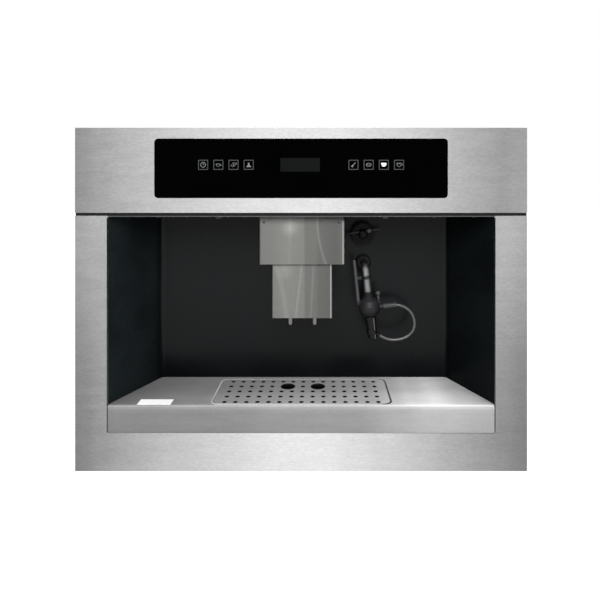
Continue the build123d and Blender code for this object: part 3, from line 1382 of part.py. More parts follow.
# ---------------------------------------------------------------- water and steam inside
def boiler():
    """Steam boiler on a saddle behind the niche, with its unions."""
    y = BOILER_Y
    body = upright(BOILER_R, BOILER_X, y, BOILER_Z, BOILER_TOP)
    body = chamfer(body.edges().filter_by(GeomType.CIRCLE), BOILER_DOME)
    middle = BOILER_Z + BOILER_H / 2
    half = SADDLE_H / 2
    body += block(
        BOILER_X - SADDLE_W / 2, BOILER_X + SADDLE_W / 2, NICHE_BACK + LINER_T, y,
        middle - half, middle + half,
    )
    body += upright(UNION_R, BOILER_X, y, BOILER_TOP - FRONT_SHEET, BOILER_TOP + UNION_H)
    return body + upright(UNION_R, BOILER_X, y, BOILER_Z - UNION_H, BOILER_Z + FRONT_SHEET)


def pump():
    """Vibrating pump on two rubber feet on the body's floor."""
    z = PUMP_Z
    coil0 = PUMP_Y + PUMP_R
    coil1 = coil0 + PUMP_COIL_L
    foot = PUMP_FOOT_T
    body = along_y(PUMP_R * 0.6, PUMP_X, PUMP_Y, PUMP_Y + PUMP_L, z)
    body += block(PUMP_X - PUMP_R, PUMP_X + PUMP_R, coil0, coil1, z - PUMP_R, z + PUMP_R)
    for y in (coil0 + foot / 2, coil1 - 1.5 * foot):
        body += block(
            PUMP_X - PUMP_R * 0.6, PUMP_X + PUMP_R * 0.6, y, y + foot, FLOOR_Z, z - PUMP_R
        )
    return body


def water_hoses():
    """Hoses from the tank's seat to the pump and from the pump up to the boiler."""
    z = PUMP_Z
    x0 = TANK_X + TANK_W / 2 + RUN + SEAT_WALL
    y_front, y_rear = PUMP_Y - PRESSURE_REACH, PUMP_Y + PUMP_L
    y_turn = y_rear + SUCTION_REACH
    from_tank = [(x0, y_turn, z), (PUMP_X, y_turn, z), (PUMP_X, y_rear, z)]
    to_boiler = [
        (PUMP_X, PUMP_Y, z),
        (PUMP_X, y_front, z),
        (BOILER_X, BOILER_Y, z + PRESSURE_RISE),
        (BOILER_X, BOILER_Y, BOILER_Z - UNION_H),
    ]
    suction = tube(from_tank, SUCTION_R, 0, 3 * SUCTION_R)
    pressure = tube(to_boiler, PRESSURE_R, 0, 3 * PRESSURE_R)
    return Compound(children=[suction.solid(), pressure.solid()])


def power_board():
    """Power board on four posts on the rear panel."""
    y1 = Y_BACK - BODY_SHEET
    x0, x1 = POWER_X - POWER_W / 2, POWER_X + POWER_W / 2
    z0, z1 = POWER_Z - POWER_W / 2, POWER_Z + POWER_W / 2
    y_back = y1 - POST_L
    y_face = y_back - BOARD_T
    inset = POST_L
    board = block(x0, x1, y_face, y_back, z0, z1)
    for x in (x0 + inset, x1 - inset):
        for z in (z0 + inset, z1 - inset):
            board += along_y(POST_R, x, y_back, y1, z)
    low = z0 + 2 * inset
    left = x0 + inset
    board += block(left, left + COIL_W, y_face - COIL_W, y_face, low, low + COIL_W)
    for n in range(3):
        x = left + COIL_W + (n + 1) * RELAY_PITCH
        top = z1 - 3 * inset
        board += along_y(CAPACITOR_R, x - CAPACITOR_R, y_face - RELAY_H, y_face, top)
        board += block(x - RELAY_W, x, y_face - RELAY_H, y_face, low, low + 2 * RELAY_W)
    return board


# ---------------------------------------------------------------- mains side
def mains_inlet():
    """Three-pin appliance inlet with the switch bezel beside it, seated in the rear panel."""
    y_flange = Y_BACK - BODY_SHEET
    inlet = Pos(INLET_X, INLET_Z)
    switch = Pos(SWITCH_X, INLET_Z)
    middle = Pos((INLET_X + SWITCH_X) / 2, INLET_Z)
    wall = BEZEL_WALL
    flange = Rectangle(SWITCH_X - INLET_X + INLET_W + 2 * BEZEL_LAP, INLET_H + 2 * BEZEL_LAP)
    body = in_front_view(middle * flange, y_flange - wall, y_flange)
    floor_y = Y_BACK - SOCKET_DEPTH
    body += in_front_view(inlet * Rectangle(INLET_W, INLET_H), floor_y - 2 * wall, Y_BACK)
    well_y = Y_BACK - SWITCH_DEPTH
    body += in_front_view(switch * Rectangle(SWITCH_W, SWITCH_H), well_y - wall, Y_BACK)
    socket = inlet * RectangleRounded(INLET_W - 2 * wall, INLET_H - 2 * wall, SOCKET_R)
    body -= in_front_view(socket, floor_y, Y_BACK)
    for x, z in ((-INLET_W / 4, -wall), (INLET_W / 4, -wall), (0, 1.5 * wall)):
        pin = inlet * Pos(x, z) * Rectangle(PIN_W, PIN_H)
        body += in_front_view(pin, floor_y, Y_BACK - 1.5 * wall)
    well = switch * Rectangle(SWITCH_W - 2 * wall, SWITCH_H - 2 * wall)
    body -= in_front_view(well, well_y, Y_BACK)
    half = SWITCH_W / 2
    pivot_y = Y_BACK - ROCKER_DEPTH
    return body - along_x(ROCKER_PIN_R + FIT, SWITCH_X - half, SWITCH_X + half, pivot_y, INLET_Z)


def mains_rocker():
    """Rocker of the mains switch on its two pivot pins, at rest in its off position."""
    half_w = SWITCH_W / 2 - BEZEL_WALL - RUN
    half_h = SWITCH_H / 2 - BEZEL_WALL - RUN
    y_pivot = Y_BACK - ROCKER_DEPTH
    edge = ROCKER_CROWN - 1.0
    outline = Polyline(
        (-half_h, -BEZEL_WALL), (half_h, -BEZEL_WALL), (half_h, edge), (0, ROCKER_CROWN),
        (-half_h, edge), close=True,
    )
    face = make_face(outline)
    body = extrude(Plane.YZ * face, amount=half_w, both=True)
    body += along_x(ROCKER_PIN_R, -half_w - BEZEL_WALL, half_w + BEZEL_WALL, 0, 0)
    body = Rot(-90, 0, 0) * body
    return Pos(SWITCH_X, y_pivot, INLET_Z) * Rot(ROCKER_TILT, 0, 0) * body


def bulkhead():
    """Sheet behind the front that joins the frame and control panel to the body."""
    y0, y1 = Y_BODY - BODY_SHEET, Y_BODY
    splay = (OPENING_W - NICHE_BACK_W) / 2 / (NICHE_DEPTH - OPENING_LIP)
    half = niche_half(y0) + LINER_T * math.hypot(1, splay) + RUN
    plate = block(-FRONT_W / 2, FRONT_W / 2, y0, y1, FRONT_LIFT, PANEL_TOP)
    hole_z = (OPENING_BOTTOM + OPENING_TOP) / 2
    hole = Pos(0, hole_z) * Rectangle(2 * half, OPENING_H + 2 * (LINER_T + RUN))
    window = rounded(GLASS_W - 6 * BOARD_EDGE, GLASS_H - 3 * BOARD_EDGE, GLASS_R, 0, GLASS_Z)
    return plate - in_front_view(hole, y0, y1) - in_front_view(window, y0, y1)


def niche_half(y):
    """Half the inner width of the niche at a depth."""
    y0 = Y_FRONT + OPENING_LIP
    share = (y - y0) / (NICHE_BACK - y0)
    return (OPENING_W + (NICHE_BACK_W - OPENING_W) * share) / 2


# ---------------------------------------------------------------- all nodes
NODES = {
    "cradle_plate": cradle_plate,
    "rail_brackets": lambda: pair(rail_bracket),
    "outer_rails": lambda: pair(outer_rail),
    "middle_rails": lambda: pair(middle_rail),
    "inner_rails": lambda: pair(inner_rail),
    "chassis_pan": chassis_pan,
    "side_panel_left": side_panel_left,
    "side_panel_right": side_panel_right,
    "rear_panel": rear_panel,
    "top_cover": top_cover,
    "bulkhead": bulkhead,
    "front_frame": front_frame,
    "control_panel": control_panel,
    "control_glass": control_glass,
    "touch_board": touch_board,
    "niche_liner": niche_liner,
    "niche_lamps": niche_lamps,
    "spout_cover": spout_cover,
    "spout_guide": spout_guide,
    "spout_slider": spout_slider,
    "coffee_manifold": coffee_manifold,
    "coffee_line": coffee_line,
    "tray_platform": tray_platform,
    "drip_pan": drip_pan,
    "drip_grid": drip_grid,
    "wand_rosette": rosette,
    "steam_pipe": steam_pipe,
    "wand_grip": wand_grip,
    "frother_body": frother_body,
    "spray_nozzle": spray_nozzle,
    "milk_hose": milk_hose,
    "air_valve": air_valve,
    "steam_knob": steam_knob,
    "steam_valve": steam_valve,
    "boiler": boiler,
    "pump": pump,
    "water_hoses": water_hoses,
    "tank_seat": tank_seat,
    "water_tank": water_tank,
    "tank_lid": lambda: lid(TANK_X, TANK_Y, TANK_W, TANK_D, TANK_R),
    "bean_hopper": bean_hopper,
    "hopper_lid": lambda: lid(HOPPER_X, HOPPER_Y, HOPPER_W, HOPPER_D, HOPPER_R),
    "grinder_housing": grinder_housing,
    "ring_burr": ring_burr,
    "cone_burr": cone_burr,
    "grinder_motor": grinder_motor,
    "grinder_stand": grinder_stand,
    "grind_knob": grind_knob,
    "brew_frame": brew_frame,
    "brew_chamber": brew_chamber,
    "brew_piston": brew_piston,
    "brew_spindle": brew_spindle,
    "brew_motor": brew_motor,
    "coffee_chute": coffee_chute,
    "coffee_flap": lambda: lid(BREW_X, BREW_Y, FLAP_W, FLAP_D, FLAP_R),
    "grounds_container": grounds_container,
    "service_door": service_door,
    "power_board": power_board,
    "mains_inlet": mains_inlet,
    "mains_rocker": mains_rocker,
}

os.makedirs("parts", exist_ok=True)
for node_name, build in NODES.items():
    write(node_name, build())
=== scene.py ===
"""Looks of a built-in coffee machine: camera, light, finishes, and the small pieces on the solids.

Everything is in metres in the part's own frame: X to the right, Y into the machine, Z up.
"""

import math

import bmesh
import bpy
from mathutils import Matrix, Vector


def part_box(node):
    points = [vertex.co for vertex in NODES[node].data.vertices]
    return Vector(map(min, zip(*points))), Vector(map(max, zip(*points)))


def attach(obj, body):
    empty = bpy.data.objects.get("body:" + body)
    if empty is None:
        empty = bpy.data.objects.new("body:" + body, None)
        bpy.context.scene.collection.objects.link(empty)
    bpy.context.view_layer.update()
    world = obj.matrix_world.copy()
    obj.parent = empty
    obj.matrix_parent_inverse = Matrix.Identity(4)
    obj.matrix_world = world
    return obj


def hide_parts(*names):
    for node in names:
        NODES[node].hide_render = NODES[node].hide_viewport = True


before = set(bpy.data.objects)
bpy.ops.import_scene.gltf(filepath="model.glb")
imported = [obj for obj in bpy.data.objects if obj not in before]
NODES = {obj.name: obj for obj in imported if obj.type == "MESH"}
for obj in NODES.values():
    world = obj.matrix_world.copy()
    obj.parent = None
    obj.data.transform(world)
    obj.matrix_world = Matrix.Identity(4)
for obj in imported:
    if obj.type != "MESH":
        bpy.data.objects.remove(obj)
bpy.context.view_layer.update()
MM = 0.001

# ---- places on the machine
front_lo, front_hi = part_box("front_frame")
panel_lo, panel_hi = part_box("control_panel")
glass_lo, glass_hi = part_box("control_glass")
_, liner_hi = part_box("niche_liner")
cover_lo, cover_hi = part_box("spout_cover")
slider_lo, slider_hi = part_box("spout_slider")
manifold_lo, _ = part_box("coffee_manifold")
tray_lo, tray_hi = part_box("tray_platform")
grid_lo, grid_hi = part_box("drip_grid")
knob_lo, knob_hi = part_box("steam_knob")
top_lo, top_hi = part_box("top_cover")
rear_lo, rear_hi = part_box("rear_panel")
left_lo, left_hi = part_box("side_panel_left")
right_lo, right_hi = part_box("side_panel_right")
Y_FACE = front_lo.y
SKIN = 0.05 * MM  # printed and laid-on pieces stand this proud
NOZZLE_X = 17.2 * MM
NOZZLE_Y = Y_FACE + 50 * MM
LAMP_X = 114.5 * MM
LAMP_Y = Y_FACE + 27 * MM
WAND_TILT = math.radians(6)
WAND_AXIS = Vector((89.6 * MM, -147 * MM, 262.5 * MM))
WAND = Matrix.Translation(WAND_AXIS) @ Matrix.Rotation(-WAND_TILT, 4, "Y")


# ---- node groups shared by the finishes
def new_group(name, inputs, outputs):
    group = bpy.data.node_groups.new(name, "ShaderNodeTree")
    for label, kind, value in inputs:
        socket = group.interface.new_socket(label, in_out="INPUT", socket_type="NodeSocket" + kind)
        if value is not None:
            socket.default_value = value
    for label, kind in outputs:
        group.interface.new_socket(label, in_out="OUTPUT", socket_type="NodeSocket" + kind)
    start = group.nodes.new("NodeGroupInput")
    end = group.nodes.new("NodeGroupOutput")
    return group, start, end


def add(tree, kind, **settings):
    """A shader node: settings are its plain properties, the inputs dict its socket values."""
    node = tree.nodes.new("ShaderNode" + kind)
    sockets = settings.pop("inputs", {})
    for key, value in settings.items():
        setattr(node, key, value)
    for key, value in sockets.items():
        node.inputs[key].default_value = value
    return node


def join(source, socket):
    """Links a socket to another of its tree, or sets it to a number."""
    if isinstance(source, float):
        socket.default_value = source
    else:
        source.id_data.links.new(source, socket)


def own_place(tree):
    """The place on the object, in the part's frame."""
    return add(tree, "TexCoord").outputs["Object"]


def split_up(tree, vector):
    """The X, Y and Z of a vector."""
    split = add(tree, "SeparateXYZ")
    join(vector, split.inputs["Vector"])
    return split.outputs


def noise(tree, place, detail, rough=0.5, scale=1.0, stretch=None):
    """Noise over a place that may be scaled by axis."""
    values = {"Scale": scale, "Detail": detail, "Roughness": rough}
    node = add(tree, "TexNoise", inputs=values)
    if stretch:
        drawn = add(tree, "Mapping", inputs={"Scale": stretch})
        join(place, drawn.inputs["Vector"])
        place = drawn.outputs["Vector"]
    join(place, node.inputs["Vector"])
    return node


def ranged(tree, value, start=0.0, end=1.0, low=0.0, high=1.0, **settings):
    """A value taken from start..end to low..high; low and high may be sockets."""
    node = add(tree, "MapRange", inputs={"From Min": start, "From Max": end}, **settings)
    for label, source in (("To Min", low), ("To Max", high), ("Value", value)):
        join(source, node.inputs[label])
    return node.outputs["Result"]


def calculated(tree, operation, *terms):
    """One Math node on numbers and sockets."""
    node = add(tree, "Math", operation=operation)
    for socket, term in zip(node.inputs, terms):
        join(term, socket)
    return node.outputs[0]


def brushed_group():
    """Fine scratches along X over slow cloudy bands, as 0 to 1."""
    group, start, end = new_group(
        "brushed", [("Vector", "Vector", None)], [("Streaks", "Float"), ("Clouds", "Float")]
    )
    place = start.outputs["Vector"]
    scratches = noise(group, place, 3.0, 0.7, stretch=(28.0, 900.0, 2200.0))
    clouds = noise(group, place, 4.0, 0.62, stretch=(26.0, 60.0, 150.0))
    join(scratches.outputs["Fac"], end.inputs["Streaks"])
    join(clouds.outputs["Fac"], end.inputs["Clouds"])
    return group


def grain_group():
    """Moulded plastic: spark-eroded grain over slow shading."""
    group, start, end = new_group(
        "moulded",
        [("Vector", "Vector", None), ("Size", "Float", 1500.0)],
        [("Grain", "Float"), ("Slow", "Float")],
    )
    place = start.outputs["Vector"]
    grain = noise(group, place, 2.0)
    slow = noise(group, place, 3.0, scale=14.0)
    join(start.outputs["Size"], grain.inputs["Scale"])
    join(grain.outputs["Fac"], end.inputs["Grain"])
    join(slow.outputs["Fac"], end.inputs["Slow"])
    return group


def spangle_group():
    """Zinc coating: crystal patches of different tone, and slow waves."""
    group, start, end = new_group(
        "spangle", [("Vector", "Vector", None)], [("Crystals", "Float"), ("Slow", "Float")]
    )
    place = start.outputs["Vector"]
    warp = noise(group, place, 3.0, scale=60.0)
    mix = add(group, "Mix", data_type="VECTOR", inputs={"Factor": 0.012})
    cells = add(group, "TexVoronoi", feature="F1", inputs={"Scale": 150.0, "Randomness": 1.0})
    tone = add(group, "SeparateColor")
    slow = noise(group, place, 4.0, scale=6.0)
    join(place, mix.inputs[4])
    join(warp.outputs["Color"], mix.inputs[5])
    join(mix.outputs[1], cells.inputs["Vector"])
    join(cells.outputs["Color"], tone.inputs["Color"])
    join(tone.outputs["Red"], end.inputs["Crystals"])
    join(slow.outputs["Fac"], end.inputs["Slow"])
    return group


def tint_group():
    """Spreads a colour between a darker and a lighter tone, and a roughness about its middle."""
    group, start, end = new_group(
        "tint",
        [
            ("Pattern", "Float", 0.5),
            ("Dark", "Color", (0.4, 0.4, 0.4, 1.0)),
            ("Light", "Color", (0.6, 0.6, 0.6, 1.0)),
            ("Smooth", "Float", 0.3),
            ("Rough", "Float", 0.4),
        ],
        [("Colour", "Color"), ("Roughness", "Float")],
    )
    given = start.outputs
    spread = ranged(group, given["Pattern"], 0.3, 0.7)
    colour = add(group, "Mix", data_type="RGBA")
    join(spread, colour.inputs["Factor"])
    join(given["Dark"], colour.inputs[6])
    join(given["Light"], colour.inputs[7])
    join(colour.outputs[2], end.inputs["Colour"])
    rough = ranged(group, spread, low=given["Smooth"], high=given["Rough"])
    join(rough, end.inputs["Roughness"])
    return group


BRUSHED = brushed_group()
MOULDED = grain_group()
SPANGLE = spangle_group()
TINT = tint_group()


# ---- how finishes are made
GRAINY = ("Slow", "Grain")  # outputs of the moulded group: what tints, what stands out
SCRATCHED = ("Clouds", "Streaks")  # the same of the brushed group


def shaded(colour, share):
    """A colour times a share, with its alpha."""
    return tuple(c * share for c in colour) + (1.0,)


def surface_shader(material):
    return material.node_tree.nodes["Principled BSDF"]


def finish(
    name, pattern, outputs, colour, rough, tone=0.1, relief=0.0, height=0.0001, edge=0.0, **shader
):
    """A finish from one pattern group.

    outputs names the group's output that tints the surface and the one that stands out of it.
    rough is (smoothest, roughest); relief and height set the bump; edge rounds corners by that radius.
    """
    material = bpy.data.materials.new(name)
    material.use_nodes = True
    tree = material.node_tree
    bsdf = surface_shader(material)
    for key, value in shader.items():
        label = "Specular IOR Level" if key == "specular" else key.replace("_", " ")
        bsdf.inputs[label].default_value = value
    source = add(tree, "Group", node_tree=pattern)
    looks = {"Dark": shaded(colour, 1 - tone), "Light": shaded(colour, 1 + tone)}
    looks |= {"Smooth": rough[0], "Rough": rough[1]}
    tint = add(tree, "Group", node_tree=TINT, inputs=looks)
    join(own_place(tree), source.inputs["Vector"])
    join(source.outputs[outputs[0]], tint.inputs["Pattern"])
    join(tint.outputs["Colour"], bsdf.inputs["Base Color"])
    join(tint.outputs["Roughness"], bsdf.inputs["Roughness"])
    rounded = None
    if edge:
        rounded = add(tree, "Bevel", samples=6, inputs={"Radius": edge})
        join(rounded.outputs["Normal"], bsdf.inputs["Normal"])
    if relief:
        bump = add(tree, "Bump", inputs={"Strength": relief, "Distance": height})
        join(source.outputs[outputs[1]], bump.inputs["Height"])
        if rounded:
            join(rounded.outputs["Normal"], bump.inputs["Normal"])
        join(bump.outputs["Normal"], bsdf.inputs["Normal"])
    return material


def brushed_steel(name, colour, rough=(0.57, 0.63), tone=0.05, **more):
    """Stainless sheet brushed along X."""
    material = finish(
        name, BRUSHED, SCRATCHED, colour, rough, tone, 0.12, 0.00003,
        edge=0.5 * MM, Metallic=1.0, Anisotropic=0.97, Anisotropic_Rotation=0.25, **more,
    )
    line = add(material.node_tree, "CombineXYZ", inputs={"X": 1.0, "Y": 0.03, "Z": 0.02})
    join(line.outputs["Vector"], surface_shader(material).inputs["Tangent"])
    return material


def tone_along(tree, axis, tones):
    """A factor that changes along an axis: tones lists (place in metres, factor), lowest first."""
    first, last = tones[0][0], tones[-1][0]
    ramp = add(tree, "ValToRGB")
    ramp.color_ramp.interpolation = "EASE"
    top = max(share for _, share in tones)
    stops = ramp.color_ramp.elements
    while len(stops) < len(tones):
        stops.new(0.5)
    for stop, (x, share) in zip(stops, tones):
        stop.position = (x - first) / (last - first)
        stop.color = (share / top, share / top, share / top, 1.0)
    across = split_up(tree, own_place(tree))[axis]
    join(ranged(tree, across, first, last), ramp.inputs["Fac"])
    return calculated(tree, "MULTIPLY", ramp.outputs["Color"], top)


def tone_in_wand(tree, tones):
    """Like tone_along, but across the wand's own tilted axis."""
    factor = tone_along(tree, "X", tones)
    split = [n for n in tree.nodes if n.type == "SEPXYZ"][-1]
    turning = {"Location": WAND_AXIS, "Rotation": (0.0, -WAND_TILT, 0.0)}
    turn = add(tree, "Mapping", vector_type="TEXTURE", inputs=turning)
    place = split.inputs["Vector"].links[0].from_socket
    join(place, turn.inputs["Vector"])
    join(turn.outputs["Vector"], split.inputs["Vector"])
    return factor


def turned(tree, low, high):
    """0 to 1 as a face turns to the front: low and high are its normal's shares along -Y."""
    normal = split_up(tree, add(tree, "NewGeometry").outputs["Normal"])
    return ranged(tree, calculated(tree, "MULTIPLY", normal["Y"], -1.0), low, high)


def upright(tree):
    """1 on faces that look to the front, 0 on level ones."""
    return turned(tree, 0.3, 0.9)


def tinted_by(material, factor):
    """Multiplies a finish's colour by a factor."""
    tree = material.node_tree
    bsdf = surface_shader(material)
    colour = bsdf.inputs["Base Color"].links[0].from_socket
    scale = add(tree, "Mix", data_type="RGBA", blend_type="MULTIPLY", inputs={"Factor": 1.0})
    join(colour, scale.inputs[6])
    join(factor, scale.inputs[7])
    join(scale.outputs[2], bsdf.inputs["Base Color"])


def painted_along(material, axis, tones):
    """Paints light and shade into a finish's colour along an axis."""
    tinted_by(material, tone_along(material.node_tree, axis, tones))


def mixed(tree, share, first, second):
    """A value between two others."""
    mix = add(tree, "Mix", data_type="FLOAT")
    for label, source in (("Factor", share), ("A", first), ("B", second)):
        join(source, mix.inputs[label])
    return mix.outputs[0]


def sheet_with_painted_light(material, top_tones, depth_tones, front_tones, rise_tones, front_rough, bend_highlight_gain):
    """Brushed sheet folded from a level top into an upright front, with painted light and shade on top
    and front and a painted highlight on the bend.
    """
    tree = material.node_tree
    bsdf = surface_shader(material)
    front = upright(tree)
    level = calculated(
        tree, "MULTIPLY", tone_along(tree, "X", top_tones), tone_along(tree, "Y", depth_tones)
    )
    face = calculated(
        tree, "MULTIPLY", tone_along(tree, "X", front_tones), tone_along(tree, "Z", rise_tones)
    )
    tinted_by(material, mixed(tree, front, level, face))
    # painted highlight along the bend
    begun = turned(tree, 0.15, 0.60)
    ended = turned(tree, 0.75, 0.99)
    bend = calculated(tree, "SUBTRACT", begun, ended)
    tinted_by(material, calculated(tree, "MULTIPLY_ADD", bend, bend_highlight_gain, 1.0))
    rough = bsdf.inputs["Roughness"].links[0].from_socket
    join(mixed(tree, front, rough, front_rough), bsdf.inputs["Roughness"])


def fading(tree, away, reach, gain):
    """1 + gain where a distance is 0, softly down to 1 where it is reach."""
    return ranged(tree, away, 0.0, reach, 1.0 + gain, 1.0, interpolation_type="SMOOTHSTEP")


def soft_line(tree, x, z, lean, bow, half_width, gain):
    """1, and 1 + gain on a soft upright line through (x, z) that leans and bows."""
    at = split_up(tree, own_place(tree))
    rise = calculated(tree, "SUBTRACT", at["Z"], z)
    bend = calculated(tree, "MULTIPLY_ADD", rise, bow, lean)
    middle = calculated(tree, "MULTIPLY_ADD", rise, bend, x)
    away = calculated(tree, "ABSOLUTE", calculated(tree, "SUBTRACT", at["X"], middle))
    return fading(tree, away, half_width, gain)


def soft_spot(tree, centre, radius, gain):
    """1, and 1 + gain in the middle of a soft round spot."""
    away = add(tree, "VectorMath", operation="DISTANCE", inputs={1: centre})
    join(own_place(tree), away.inputs[0])
    return fading(tree, away.outputs["Value"], radius, gain)


def speckled(material, spread):
    """Short brushed flecks a few millimetres long."""
    tree = material.node_tree
    flecks = noise(tree, own_place(tree), 2.0, 0.6, stretch=(170.0, 480.0, 620.0))
    tinted_by(material, ranged(tree, flecks.outputs["Fac"], 0.3, 0.7, 1.0 - spread, 1.0 + spread))


def plastic(name, colour, rough, tone=0.08, size=1500.0, relief=0.15, **more):
    """Moulded plastic with a fine grain."""
    material = finish(
        name, MOULDED, GRAINY, colour, rough, tone, relief, 0.00006, edge=0.4 * MM, **more
    )
    for node in material.node_tree.nodes:
        if node.type == "GROUP" and node.node_tree == MOULDED:
            node.inputs["Size"].default_value = size
    return material


def metal(name, colour, rough, tone, relief=0.05, metallic=1.0, height=0.0001):
    """Turned or cast metal with a fine grain."""
    return finish(name, MOULDED, GRAINY, colour, rough, tone, relief, height, Metallic=metallic)


def printed(name, colour, tone):
    """Screen print on the glass."""
    return finish(name, MOULDED, GRAINY, colour, (0.45, 0.55), tone, specular=0.2)


# ---- stainless front
# Tones are painted light and shade, as (place in metres, factor on the colour).
STAINLESS = ((0.335, 0.335, 0.336), (0.62, 0.68))
FRONT_SPECKLE = 0.08
PANEL_PAINTED_LIGHT = [
    (-0.297, 0.84), (-0.287, 0.89), (-0.265, 1.00), (-0.235, 1.06), (-0.200, 1.06), (-0.156, 1.00),
    (-0.100, 0.98), (0.030, 0.98), (0.081, 0.93), (0.134, 0.90), (0.200, 0.87), (0.239, 0.84),
    (0.265, 0.78), (0.285, 0.84), (0.297, 0.87),
]
# painted highlight and shade across the frame: one set along its bottom border, one along its sides,
# blended over the height
LOW_FRAME_PAINTED_LIGHT = [
    (-0.297, 0.66), (-0.287, 0.70), (-0.261, 0.83), (-0.235, 0.93), (-0.182, 0.98), (-0.130, 0.95),
    (-0.090, 0.97), (-0.030, 1.05), (0.030, 1.05), (0.070, 0.97), (0.107, 0.91), (0.160, 0.83),
    (0.200, 0.75), (0.239, 0.69), (0.265, 0.62), (0.297, 0.53),
]
HIGH_FRAME_PAINTED_LIGHT = [
    (-0.297, 1.08), (-0.270, 1.18), (-0.250, 1.14), (0.250, 1.02), (0.270, 1.08), (0.297, 1.00),
]
FRAME_PAINTED_RISE = [(0.050, 0.0), (0.090, 0.08), (0.335, 1.0)]  # share of the high tones over the height

stainless = brushed_steel("stainless_panel", *STAINLESS)
# painted highlight and shade across the panel
painted_along(stainless, "X", PANEL_PAINTED_LIGHT)
speckled(stainless, FRONT_SPECKLE)
# a second copy of the steel for the frame, with its own painted light and shade
frame_steel = brushed_steel("stainless_frame", *STAINLESS)
frame_tree = frame_steel.node_tree
low_painted_light = tone_along(frame_tree, "X", LOW_FRAME_PAINTED_LIGHT)
high_painted_light = tone_along(frame_tree, "X", HIGH_FRAME_PAINTED_LIGHT)
painted_rise = tone_along(frame_tree, "Z", FRAME_PAINTED_RISE)
tinted_by(frame_steel, mixed(frame_tree, painted_rise, low_painted_light, high_painted_light))
speckled(frame_steel, FRONT_SPECKLE)

# ---- platform and drip grid
# painted light and shade on the platform: lighter to the right and at the front, darker towards the
# back, and a painted highlight on the front bend
TRAY_TOP_PAINTED_LIGHT = [
    (-0.25, 0.28), (-0.10, 0.28), (0.02, 0.33), (0.09, 0.44), (0.125, 0.66), (0.150, 0.92),
    (0.185, 1.28), (0.215, 1.08), (0.25, 0.95),
]
TRAY_DEPTH_PAINTED_SHADE = [(-0.206, 1.05), (-0.192, 0.95), (-0.150, 0.68), (-0.112, 0.62)]
TRAY_FRONT_PAINTED_LIGHT = [
    (-0.25, 0.45), (-0.185, 0.42), (-0.10, 0.39), (0.0, 0.43), (0.07, 0.44), (0.13, 0.58),
    (0.17, 0.69), (0.20, 0.70), (0.25, 0.67),
]
TRAY_RISE_PAINTED_LIGHT = [(0.051, 0.97), (0.0765, 1.0), (0.081, 1.06), (0.0845, 1.28), (0.088, 1.35)]
TRAY_FRONT_ROUGH = 0.9
TRAY_BEND_HIGHLIGHT = 0.45

tray_steel = brushed_steel("stainless_tray", (0.43, 0.43, 0.433))
sheet_with_painted_light(
    tray_steel, TRAY_TOP_PAINTED_LIGHT, TRAY_DEPTH_PAINTED_SHADE, TRAY_FRONT_PAINTED_LIGHT, TRAY_RISE_PAINTED_LIGHT,
    TRAY_FRONT_ROUGH, TRAY_BEND_HIGHLIGHT,
)
speckled(tray_steel, 0.04)
# painted highlight: a light, barely metallic rim round the grid's well, lightest on the left and dark
# on the right
bead_painted_highlight = metal("bead_painted_highlight", (0.50, 0.50, 0.50), (0.4, 0.5), 0.06, metallic=0.15)
BEAD_PAINTED_LIGHT = [(-0.13, 1.1), (-0.11, 0.8), (0.10, 0.75), (0.114, 0.2), (0.13, 0.2)]
painted_along(bead_painted_highlight, "X", BEAD_PAINTED_LIGHT)
# painted shade: a dark finish for the rims and linings of the grid's holes
hole_shade_dark = metal("hole_painted_shade", (0.022, 0.022, 0.0225), (0.5, 0.6), 0.1)
white_card = plastic("blank_card", (0.98, 0.98, 0.97), (0.5, 0.6), 0.02, 800.0, 0.1)

# ---- spout
# painted light and shade across the spout, brightest on its right fold
SPOUT_PAINTED_LIGHT = [
    (-0.058, 0.93), (-0.045, 0.96), (-0.020, 1.10), (0.002, 1.04), (0.006, 0.80), (0.018, 0.80),
    (0.024, 0.68), (0.046, 0.60), (0.054, 0.66), (0.058, 1.1),
]
# Painted soft reflections: lines as x, z, lean, bow, half width, gain; a spot as centre, radius, gain.
HOOD_LINES = [(0.0235, 0.306, -0.165, 3.4, 0.0028, 0.42), (-0.016, 0.290, 0.03, 0.0, 0.004, 0.10)]
HOOD_SPOT = ((-0.015, cover_lo.y, 0.321), 0.016, 0.40)
SLEEVE_LINES = [
    (-0.003, 0.243, 0.114, 0.0, 0.0026, 0.24), (0.015, 0.250, 0.054, 0.0, 0.0024, 0.25),
    (-0.028, 0.245, -0.25, -2.0, 0.006, 0.16),
]
SLEEVE_SPOT = ((-0.024, slider_lo.y, 0.264), 0.018, 0.25)


def spout_sheet(name, lines, spot):
    """Thin satin sheet of the spout, with the painted light and shade that both its pieces share, and
    its own painted reflections.
    """
    material = brushed_steel(name, (0.070, 0.071, 0.067), (0.40, 0.50), 0.06)
    painted_along(material, "X", SPOUT_PAINTED_LIGHT)
    speckled(material, 0.05)
    for line in lines:
        tinted_by(material, soft_line(material.node_tree, *line))
    tinted_by(material, soft_spot(material.node_tree, *spot))
    return material


hood_sheet = spout_sheet("stainless_hood", HOOD_LINES, HOOD_SPOT)
sleeve_sheet = spout_sheet("stainless_sleeve", SLEEVE_LINES, SLEEVE_SPOT)
# painted highlight for the spout's right folds
fold_highlight_paint = metal("fold_painted_highlight", (0.17, 0.17, 0.17), (0.4, 0.5), 0.08, metallic=0.2)
nozzle_steel = metal("turned_steel", (0.11, 0.11, 0.107), (0.24, 0.34), 0.08)
hood_steel = metal("hood_screw_steel", (0.05, 0.05, 0.05), (0.3, 0.4), 0.12, 0.08)

